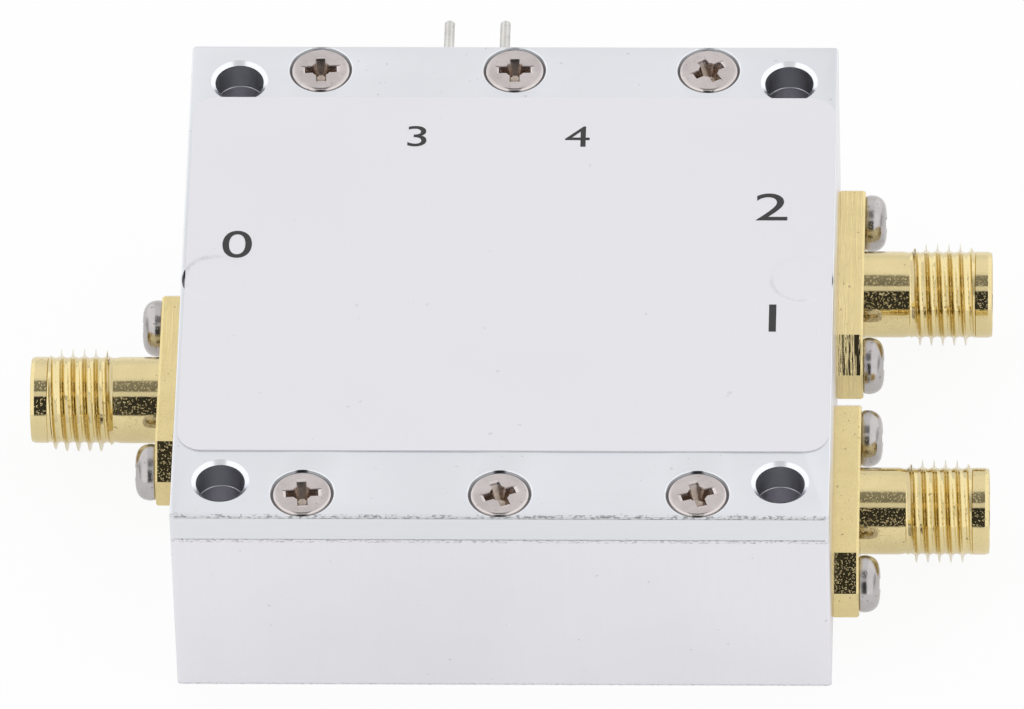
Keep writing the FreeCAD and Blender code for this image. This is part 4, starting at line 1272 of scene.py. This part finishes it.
class SWITCH_OT_materials(PieceOperator):
    """Make the finishes and the shared node trees."""

    bl_idname = "switch.materials"
    bl_label = "Finishes"

    def execute(self, context):
        make_materials(context.scene.switch_finishes)
        thread_tree()
        spread_tree()
        return {"FINISHED"}


class SWITCH_OT_box(PieceOperator):
    """Make the milled box."""

    bl_idname = "switch.box"
    bl_label = "Box"

    def execute(self, context):
        make_box(context.scene.switch_box)
        return {"FINISHED"}


class SWITCH_OT_cover(PieceOperator):
    """Make the cover plate."""

    bl_idname = "switch.cover"
    bl_label = "Cover"

    def execute(self, context):
        make_cover(context.scene.switch_box)
        return {"FINISHED"}


class SWITCH_OT_label(PieceOperator):
    """Make the label film and its printed numerals."""

    bl_idname = "switch.label"
    bl_label = "Label"

    def execute(self, context):
        make_label(context.scene.switch_box)
        make_numerals()
        return {"FINISHED"}


class SWITCH_OT_cover_screws(PieceOperator):
    """Make the eight countersunk screws."""

    bl_idname = "switch.cover_screws"
    bl_label = "Cover screws"

    def execute(self, context):
        make_cover_screws(context.scene.switch_screws)
        return {"FINISHED"}


class SWITCH_OT_flange_screws(PieceOperator):
    """Make the six pan-head screws."""

    bl_idname = "switch.flange_screws"
    bl_label = "Flange screws"

    def execute(self, context):
        make_flange_screws(context.scene.switch_screws)
        return {"FINISHED"}


class SWITCH_OT_shells(PieceOperator):
    """Make the three jack shells."""

    bl_idname = "switch.shells"
    bl_label = "Jack shells"

    def execute(self, context):
        make_jack_shells(context.scene.switch_jacks)
        return {"FINISHED"}


class SWITCH_OT_fronts(PieceOperator):
    """Make the jacks' insulators and contacts."""

    bl_idname = "switch.fronts"
    bl_label = "Jack fronts"

    def execute(self, context):
        make_jack_fronts()
        return {"FINISHED"}


class SWITCH_OT_pins(PieceOperator):
    """Make the supply and control pins with their feedthroughs."""

    bl_idname = "switch.pins"
    bl_label = "Pins"

    def execute(self, context):
        make_pins()
        return {"FINISHED"}


class SWITCH_OT_inside(PieceOperator):
    """Finish the board and the parts on it."""

    bl_idname = "switch.inside"
    bl_label = "Inside"

    def execute(self, context):
        dress_inside()
        return {"FINISHED"}


class SWITCH_OT_stage(PieceOperator):
    """Make the floor, the room's light and the camera."""

    bl_idname = "switch.stage"
    bl_label = "Stage"

    def execute(self, context):
        context.scene.view_settings.view_transform = "Standard"
        make_camera()
        make_world()
        make_floor()
        return {"FINISHED"}


OPERATORS = [
    SWITCH_OT_stage, SWITCH_OT_materials, SWITCH_OT_box, SWITCH_OT_cover, SWITCH_OT_label,
    SWITCH_OT_cover_screws, SWITCH_OT_flange_screws, SWITCH_OT_shells, SWITCH_OT_fronts,
    SWITCH_OT_pins, SWITCH_OT_inside,
]


class SWITCH_PT_panel(bpy.types.Panel):
    """Sizes, colours and pieces of the antenna switch."""

    bl_label = "Antenna switch"
    bl_idname = "SWITCH_PT_panel"
    bl_space_type = "VIEW_3D"
    bl_region_type = "UI"
    bl_category = "Switch"

    def draw(self, context):
        for name in SETTINGS:
            group = getattr(context.scene, name)
            box = self.layout.box()
            for key in group.__annotations__:
                box.prop(group, key)
        for operator in OPERATORS:
            self.layout.operator(operator.bl_idname)


SETTINGS = {
    "switch_box": BoxSizes, "switch_jacks": JackSizes,
    "switch_screws": ScrewSizes, "switch_finishes": Finishes,
}


def register():
    """Register the settings, operators and panel."""
    for group in SETTINGS.values():
        bpy.utils.register_class(group)
    for item in (*OPERATORS, SWITCH_PT_panel):
        bpy.utils.register_class(item)
    for name, group in SETTINGS.items():
        setattr(bpy.types.Scene, name, PointerProperty(type=group))


def unregister():
    """Take the settings, operators and panel out again."""
    for name in SETTINGS:
        delattr(bpy.types.Scene, name)
    for item in (SWITCH_PT_panel, *reversed(OPERATORS)):
        bpy.utils.unregister_class(item)
    for group in SETTINGS.values():
        bpy.utils.unregister_class(group)


def main():
    """Make every piece."""
    register()
    for operator in OPERATORS:
        category, action = operator.bl_idname.split(".")
        if getattr(getattr(bpy.ops, category), action)() != {"FINISHED"}:
            raise RuntimeError(f"{operator.bl_idname} did not finish")


if __name__ == "__main__":
    main()
